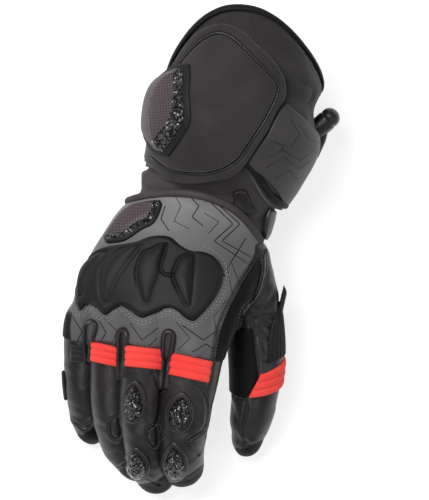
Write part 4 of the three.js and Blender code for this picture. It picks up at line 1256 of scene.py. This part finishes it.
# The lower bevel takes the dark copy: partly painted shade on the slope turned from the light
repaint(backSlider, lambda pixels: distanceTo(pixels, resample(leafLow, 1)) < 7.5)
bezelEdges = [offsetPath(resampleTo(edge, 30), out) for edge, out in ((leafTop, 2.6), (leafLow, -2.6))]
addPiece("backBezel", [patchOn(handBVH, *bezelEdges, 40, 80, lambda d, u, w, p: 1.5 * roundedEdge(d, 1.5))],
         [rubber], ("back_bezel",), "moulded_rubber")

guardTop = [
    (78, 300), (76.5, 293), (78.5, 279), (83, 265), (91, 256), (102, 248), (119, 245), (136.5, 242),
    (149, 237), (162, 235.5), (172, 238), (181, 246), (191, 251), (203, 252), (213, 256), (221, 265),
    (223, 270),
]
guardLow = [
    (77, 304), (80, 310), (84, 308), (88, 302), (93, 303), (99.5, 311), (106, 315), (114, 309), (120, 304),
    (128, 307), (135, 314.5), (142, 318), (149, 316), (159.5, 311), (168, 307.5), (177, 311), (185, 318),
    (193, 321), (200, 316), (213, 300.5), (221, 285), (223, 274),
]
guardLobes = [
    [(194.3, 256.6), (187.4, 256.6), (180.5, 260), (176, 268), (173.6, 275), (174.8, 281.8), (180.5, 295.6),
     (185, 304.8), (189.7, 308.2), (191.4, 306), (192.6, 291), (193.7, 270.4)],
    [(166.8, 245), (159.9, 246), (151.8, 250.3), (145.5, 253), (141, 261), (138, 270.4), (138, 279.5),
     (140.4, 291), (143.8, 301.4), (147.8, 304.2), (151.3, 302.5), (153.6, 293.3), (156.4, 285.3),
     (161, 270.4), (161.6, 263.5), (164.5, 254.3)],
    [(142.7, 245.7), (133.5, 246.8), (122, 250.8), (112.8, 257.7), (105.9, 265.8), (103, 272.7),
     (102.5, 287.6),
     (103.6, 297.9), (105.9, 302.5), (109.4, 301.4), (112.8, 291), (119.7, 277.2)],
    [(109.4, 252), (100.2, 253.7), (89.8, 261.2), (83, 269.2), (80.7, 278.4), (79.5, 288.7), (80.7, 296.8),
     (83, 296.2), (87, 288.7), (91, 277.2)],
]
guard = {"thick": 3.0, "dome": 1.4, "groove": 1.5,
         "extra": [(166.8, 245), (161, 268), (168, 275.5), (173.6, 274.4)]}


def guardHeight(d, u, w, pixels):
    h = guard["thick"] * roundedEdge(d, 2.6)
    for lobe in guardLobes:
        path = resample(lobe, 2, closed=True)
        inside = depthIn(pixels, path) * view["pixel"]
        h += guard["dome"] * np.sin(np.clip(inside / 5, 0, 1) * math.pi / 2)
        toMiddle = unit(pixels - path.mean(0)) @ np.array([-0.75, -0.66])
        h -= guard["groove"] * bell(inside + 0.2, 0.7) * np.clip(0.6 + 0.8 * toMiddle, 0.25, 1)
    h -= guard["groove"] * bell(distanceTo(pixels, resample(guard["extra"], 2)) * view["pixel"], 0.7)
    return h


addPiece("knuckleGuard", [patchOn(handBVH, guardTop, guardLow, 96, 170, guardHeight, low=-1.5, soften=90,
                                  closer=0.3)], [rubber], ("knuckle_guard",), "moulded_rubber", 0.8)

# Fingers
print("fingers")
bands = {
    "index": ([(172.5, 352.5), (211.5, 361)], [(170, 375), (208, 383)]),
    "middle": ([(126.5, 345), (162, 349)], [(125.5, 366.5), (160, 370)]),
    "ring": ([(93, 341.5), (117.5, 347)], [(91.5, 361), (116.5, 367)]),
    "little": ([(71.5, 345), (84, 346)], [(71.5, 361), (84, 362.5)]),
}
thumbBandTable = table([[3.05, -25], [3.34, 82]], [[3.62, -25], [3.91, 104]])
band = {"ribs": 3, "thick": 1.5, "rib": 0.8}


def bandHeight(d, u, w, pixels):
    ribs = np.abs(np.sin(math.pi * band["ribs"] * w))
    return 0.5 + band["thick"] * roundedEdge(d, 0.7) - band["rib"] * (1 - ribs ** 0.5)


for name, edges in bands.items():
    black = name == "little"
    addPiece(name + "Stretch", [patchOn(stallBVH[name], *edges, 42, 44, bandHeight, soften=5, closer=0.1)],
             [blackStretch if black else stretchFabric], ("stretch_" + name,),
             "black_leather" if black else "red_stretch", 0.5)

addPiece("thumbStretch", [padOn(thumbTube, thumbBandTable, (14, 45), (42, 70),
                                lambda d, u, w: bandHeight(d, w, u, None), closer=0.1)], [stretchFabric],
         ("stretch_thumb",), "red_stretch", 0.5)

bridges = {  # the rolled edge goes up one side, over and down the other
    "ring_little": [(85, 362), (84.3, 343), (85.5, 327), (88, 322.5), (92, 321.5), (96, 323.5), (96, 328),
                    (93, 340), (91, 361)],
    "middle_ring": [(118, 379), (117.5, 352), (118.6, 335), (120, 331), (123, 329.5), (126.3, 331),
                    (127.6, 335), (126.4, 352), (124.5, 377)],
    "index_middle": [(159.6, 388), (162.5, 354), (163.6, 337), (165, 332.5), (168.8, 331), (172.5, 333),
                     (173.6, 337), (171, 356), (167, 388)],
}
bridge = {"width": 3.3, "height": 2.2, "between": 1.0}
handAndStalls = skinOf([handBack, handPalm] + list(stalls.values()))
for name, edge in bridges.items():
    spots, ways = lay(handAndStalls, edge, 0.7)
    rolled = strip(smoothLine(spots, 5), unit(smoothLine(ways, 10)), bridge["width"],
                   halfRound(bridge["height"], 11), low=-1.2)
    between = patchOn(handAndStalls, edge[:5], edge[:3:-1], 12, 60,
                      lambda d, u, w, p: bridge["between"] + 0 * d, low=-0.8, soften=12)
    addPiece("bridge" + name.title().replace("_", ""), [rolled, between], [blackLeather], ("bridge_" + name,))

# drop-shaped sliders in oval bezels
sliders = {  # finger, middle in pixels, half width, half length, turn
    "middle_near": ("middle", (134.3, 402), 8.3, 17.8, 3),
    "index_near": ("index", (180, 412.5), 9.5, 16.6, 6),
    "middle_far": ("middle", (137, 464.5), 8.6, 13.3, -13),
    "index_far": ("index", (174.8, 462), 9.0, 15.3, -4),
}
drop = {"thick": 1.4, "dome": 2.4, "rim": 4.6, "seam": 3.2}


# Left and right side of a drop, pointed at its top and round below
def dropSides(centre, half, reach, turn, grow=0.0):
    angle = math.radians(turn)
    f = np.linspace(0, 1, 40)
    wide = np.maximum((half + grow) * np.sqrt(np.sin(math.pi * f ** (1.35 - 0.05 * grow))), 0.2)
    along = (reach + grow) * (2 * f - 1)
    sides = []
    for sign in (-1, 1):
        sides.append(np.stack([centre[0] + sign * wide * math.cos(angle) - along * math.sin(angle),
                               centre[1] + sign * wide * math.sin(angle) + along * math.cos(angle)], -1))
    return sides


def dropHeight(d, u, w, pixels):
    dome = np.sin(np.clip(d / 4.0, 0, 1) * math.pi / 2)
    return drop["thick"] + 0.6 * roundedEdge(d, 0.5) + drop["dome"] * dome


sliderStitches = []
for name, (finger, *shape) in sliders.items():
    title = name.title().replace("_", "")
    addPiece("bezel" + title, [patchOn(stallBVH[finger], *dropSides(*shape, drop["rim"]), 34, 60,
                                       lambda d, u, w, p: 1.3 * roundedEdge(d, 1.6))], [blackLeather],
             ("bezel_" + name,), "moulded_rubber")
    addPiece("slider" + title, [patchOn(stallBVH[finger], *dropSides(*shape), 34, 50, dropHeight,
                                        closer=0.3)], [cutCarbonAndBevelShade], ("slider_" + name,), "carbon_weave")
    left, right = dropSides(*shape, drop["seam"])
    sliderStitches.append(lay(stallBVH[finger], np.vstack([left, right[::-1]])[::6], 0.8, lift=1.35)[0])

# side pad of the little finger, on its tube
sidePadTable = table([[1.85, 158], [1.85, 172]], [[1.95, 148], [1.95, 184]], [[2.4, 148], [2.4, 184]],
                     [[2.5, 158], [2.5, 174]])
addPiece("littleSidePad", [padOn(stallTubes["little"], sidePadTable, (18, 9), (40, 26),
                                 lambda d, u, w: 0.3 + 1.3 * roundedEdge(d, 4))], [rubber],
         ("little_side_pad",), "moulded_rubber", 0.7)

# Thumb
print("thumb")
thumbFrontTable = table([[2.3, 97], [2.3, 196]], [[2.95, 92], [2.95, 205]], [[3.4, 88], [3.4, 207]],
                        [[3.65, 97], [3.65, 207]], [[3.95, 112], [3.95, 200]])
addPiece("thumbFront", [padOn(thumbTube, thumbFrontTable, (45, 35), (70, 60),
                              lambda d, u, w: 0.2 + 1.1 * roundedEdge(d, 1.5))], [palmLeatherAndTipShade],
         ("thumb_front_panel",), "black_leather", 0.4)
thumbSideTable = table([[1.98, -16], [1.94, 4]], [[2.15, -19], [2.15, 38]], [[2.35, -22], [2.35, 56]],
                       [[2.7, -24], [2.7, 67]], [[3, -24], [3.1, 68]])
thumbSideRibs = 9


def thumbSideHeight(d, u, w):
    ribs = np.abs(np.sin(math.pi * thumbSideRibs * w)) ** 0.7
    return 0.3 + (0.7 + 0.6 * ribs) * roundedEdge(d, 1.2)


# A bar with a round end through places in pixels. shares scale its half width and half height along it.
def makeBar(path, shares, height, half, tall, ring=0.0):
    axis = toPlane(path) * [1, 1, 0] + [0, 0, height]
    f = np.linspace(0, len(axis) - 1, 40)
    centres = curveThrough(axis, f)
    share = curveThrough(np.array(shares), f) * (1 - ring * bell(f - len(axis) + 1.5, 0.12))
    ahead = unit(np.gradient(centres, axis=0))
    dome = np.linspace(0, 1, 10)[1:] * math.pi / 2
    reach = half * share[-1] * 0.9
    centres = np.vstack([centres, centres[-1] + ahead[-1] * (reach * np.sin(dome))[:, None]])
    share = np.concatenate([share, share[-1] * np.maximum(np.cos(dome), 0.05)])
    ahead = np.vstack([ahead, np.repeat(ahead[-1:], len(dome), axis=0)])
    side = np.stack([ahead[:, 1], -ahead[:, 0], 0 * share], -1)
    angles = np.radians(np.arange(28) * 360 / 28)
    x = np.sign(np.cos(angles)) * np.abs(np.cos(angles)) ** 0.9
    z = np.sign(np.sin(angles)) * np.abs(np.sin(angles)) ** 0.7
    grid = (centres[:, None] + side[:, None] * (half * share[:, None] * x[None])[..., None]
            + np.array([0, 0, 1.0]) * (tall * share[:, None] * z[None])[..., None])
    return closedLoft(grid, capEnd=True)


tongue = {"path": [(276.5, 330), (279, 318), (281.3, 308), (283, 300), (284.6, 292.5), (284.2, 286)],
          "shares": [0.6, 1.0, 1.0, 1.0, 0.95, 0.2], "half": 1.45, "tall": 5.0}
tongueHeight = curveThrough(thumbTube.centre, np.array([2.0]))[0, 2]
addPiece("thumbSide", [padOn(thumbTube, thumbSideTable, (40, 24), (60, 90), thumbSideHeight, closer=0.1),
                       makeBar(height=tongueHeight, **tongue)],
         [rubber], ("thumb_side_panel",), "moulded_rubber", 0.7)

# Wrist patch, strap loop and pull tab
print("straps")
patchTable = table([[2.8, 52], [2.8, 58]], [[3.05, 49], [3.05, 68]], [[3.35, 45], [3.35, 70]],
                   [[3.8, 53], [3.8, 72]], [[4.15, 59], [4.15, 75]], [[4.4, 65], [4.4, 69]])
addPiece("wristPatch", [padOn(sleeveTube, patchTable, (14, 16), (40, 30),
                              lambda d, u, w: 0.4 + 1.7 * roundedEdge(d, 1.2))], [blackLeather],
         ("wrist_patch",))
loopTable = table([[1.7, -16], [1.7, 14]], [[2.2, -18], [2.2, 23]], [[3, -18], [3, 27]],
                  [[3.9, -14], [3.9, 25]])
addPiece("strapLoop", [padOn(sleeveTube, loopTable, (34, 22), (60, 40),
                             lambda d, u, w: 0.5 + 1.6 * roundedEdge(d, 1.4) + 1.4 * np.sin(math.pi * u))],
         [blackLeather], ("strap_loop",))
tab = {"height": 31.0, "half": 5.7, "tall": 7.5}
tabLoop = {"path": [(304, 140), (311, 134), (318.5, 127.5), (326, 121), (331, 116.5)],
           "shares": [0.95, 1.0, 1.0, 1.02, 0.98], "ring": 0.09}
tabStrap = {"path": [(316, 156), (319, 148), (322, 139), (324, 131)], "shares": [0.3, 0.36, 0.45, 0.45]}
addPiece("pullTab", [makeBar(**tabLoop, **tab), makeBar(**tabStrap, **tab)], [blackLeather], ("pull_tab",),
         "black_leather", 0.4)

# Threads
print("threads")
guardRing = resampleTo(guardLow, 120)
guardSeam = [offsetPath(guardRing, -3.6), offsetPath(guardRing, -6.2)]
guardSeam[0] = np.vstack([guardSeam[0], [(226, 277), (226, 266), (221, 257.5), (213.5, 251), (205, 247.5)]])
guardRuns = [run for path in guardSeam for run in layRuns(handBVH, path, 0.9, 0.15)]
stitchRun("guardStitches", guardRuns, greyThread, 2.4, 1.6, 0.5)
flapRuns = layRuns(flapBVH, offsetPath(resample(flapSeam, 3), -2.8), lift=0.1)
stitchRun("flapStitches", flapRuns, darkThread, 2.0, 1.3, 0.4)
stitchRun("sliderStitches", sliderStitches, darkThread, 1.7, 1.1, 0.42)
seamStitches = [run for name, paths in fingerSeams.items() for path in paths
                for run in layRuns(stallBVH[name], offsetPath(resample(path, 3), 1.6), lift=0.35)]
stitchRun("fingerStitches", seamStitches, darkThread, 1.8, 1.2, 0.38)
thumbStitches = [run for path in thumbSeams
                 for run in layRuns(thumbBVH, offsetPath(resample(path, 3), 1.6), lift=0.45)]
thumbEdge = [(265.5, 250), (264.8, 273), (258.3, 295), (245.3, 308), (242, 316.6), (239.9, 327.5),
             (233.4, 338.3), (229.6, 357.8)]
edgeSkin = skinOf([handBack, handPalm, thumbSkin])
addPiece("thumbWelt", [strip(smoothLine(spots, 8), unit(smoothLine(ways, 12)), 2.2, halfRound(1.3))
                       for spots, ways in unbroken(*lay(edgeSkin, thumbEdge, 0.8), 7, 9)], [blackLeather])
thumbStitches += layRuns(edgeSkin, offsetPath(resample(thumbEdge, 3), -3.0), lift=0.2)
stitchRun("thumbStitches", thumbStitches, darkThread, 1.9, 1.3, 0.4)
handStitches = [run for path in handSeams
                for run in layRuns(handBVH, offsetPath(resample(path, 3), 2.2), lift=0.2)]
bandStitches = [[(93, 338.5), (117.5, 344)], [(126.5, 342), (162, 346)], [(172.5, 349.5), (212, 358)]]
handStitches += [run for path in bandStitches for run in layRuns(handBVH, path, lift=0.2)]
stitchRun("handStitches", handStitches, darkThread, 1.9, 1.3, 0.4)

# The grey leather's line print
print("print")
backLines = [
    [(171, 189), (181, 206), (174, 221), (189, 229)], [(197, 189), (233, 224), (214, 241), (247, 263)],
    [(202, 190), (240, 224), (222, 241), (251, 257)], [(204, 213), (219, 222), (208, 234)],
    [(186, 192), (199, 206), (192, 217), (203, 226)], [(246, 238), (231, 262), (240, 284)],
    [(238, 252), (227, 268), (233, 296), (221, 321)], [(137, 196), (152, 198), (171, 195)],
    [(165, 206), (161, 219), (169, 231)], [(128, 198), (112, 216), (103, 233)],
    [(72, 316), (82, 331), (77, 342)], [(99, 320), (106, 333), (101, 341)],
    [(104, 318), (117, 331), (112, 343)],
    [(130, 323), (142, 340), (158, 328)], [(148, 347), (157, 338)], [(176, 322), (190, 338), (178, 350)],
    [(182, 325), (203, 340), (215, 332)], [(192, 352), (206, 344), (213, 349)],
    [(226, 300), (214, 317), (217, 335)],
]
panelLines = [
    [(262, 160), (283, 150), (300, 161), (315, 150)], [(266, 168), (284, 157), (299, 169), (311, 160)],
    [(291, 119), (300, 134), (291, 147)], [(299, 124), (309, 139), (318, 143)],
    [(276, 178), (290, 170), (297, 181)],
    [(272, 141), (284, 146), (280, 153)],
]
line = {"wide": 0.6, "thin": 0.39, "proud": 0.07}  # every third line is thin


def printLines(name, skin, lines):
    parts = []
    for k, path in enumerate(lines):
        spots, ways = lay(skin, path, 0.8, smooth=False)
        wide = line["wide"] if k % 3 else line["thin"]
        parts.append(strip(spots, ways, wide, [line["proud"]] * 2, low=-0.05))
    addPiece(name, parts, [printInk])


printLines("backPrint", skinOf([handBack]), backLines)
printLines("panelPrint", skinOf([cuffPanel]), panelLines)

# Finishing: replacing and riding
for obj, nodes, slot, padding in pieces:
    if nodes:
        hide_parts(*nodes)
    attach(obj, "root")

# Floor, light and camera
print("studio")
scene = bpy.context.scene
bpy.ops.mesh.primitive_plane_add(size=3.0, location=(0, 0, -0.0002))
floor = bpy.context.object
floor.name = "floor"
paper, _, paperShader = newMaterial("whiteSweep")
paperShader.inputs["Base Color"].default_value = linear("#b6b6b6")
paperShader.inputs["Roughness"].default_value = 0.9
paperShader.inputs["Emission Color"].default_value = (1, 1, 1, 1)
paperShader.inputs["Emission Strength"].default_value = 0.75
floor.data.materials.append(paper)

lights = {
    "key": {"power": 20.0, "size": 0.9, "place": (-0.52, 0.55, 1.35)},
    "fill": {"power": 2.0, "size": 1.0, "place": (0.9, -0.3, 0.8)},
    "front": {"power": 2.2, "size": 0.5, "place": (-0.25, -0.9, 1.0)},
}
for name, light in lights.items():
    lamp = bpy.data.lights.new(name, "AREA")
    lamp.energy = light["power"]
    lamp.size = light["size"]
    holder = bpy.data.objects.new(name, lamp)
    scene.collection.objects.link(holder)
    holder.location = light["place"]
    aim = Vector((0, 0, 0.03)) - Vector(light["place"])
    holder.rotation_euler = aim.to_track_quat("-Z", "Y").to_euler()
world = bpy.data.worlds.new("softRoom")
world.use_nodes = True
world.node_tree.nodes["Background"].inputs[0].default_value = (1, 1, 1, 1)
world.node_tree.nodes["Background"].inputs[1].default_value = 0.13
scene.world = world
scene.view_settings.view_transform = "Standard"

camera = bpy.data.cameras.new("camera")
camera.sensor_width = 36.0
camera.lens = 36.0 * (view["eye"][2] - view["plane"]) / (500 * view["pixel"])
camera.clip_end = 10.0
eye = bpy.data.objects.new("camera", camera)
scene.collection.objects.link(eye)
eye.location = [value * 0.001 for value in view["eye"]]
scene.camera = eye
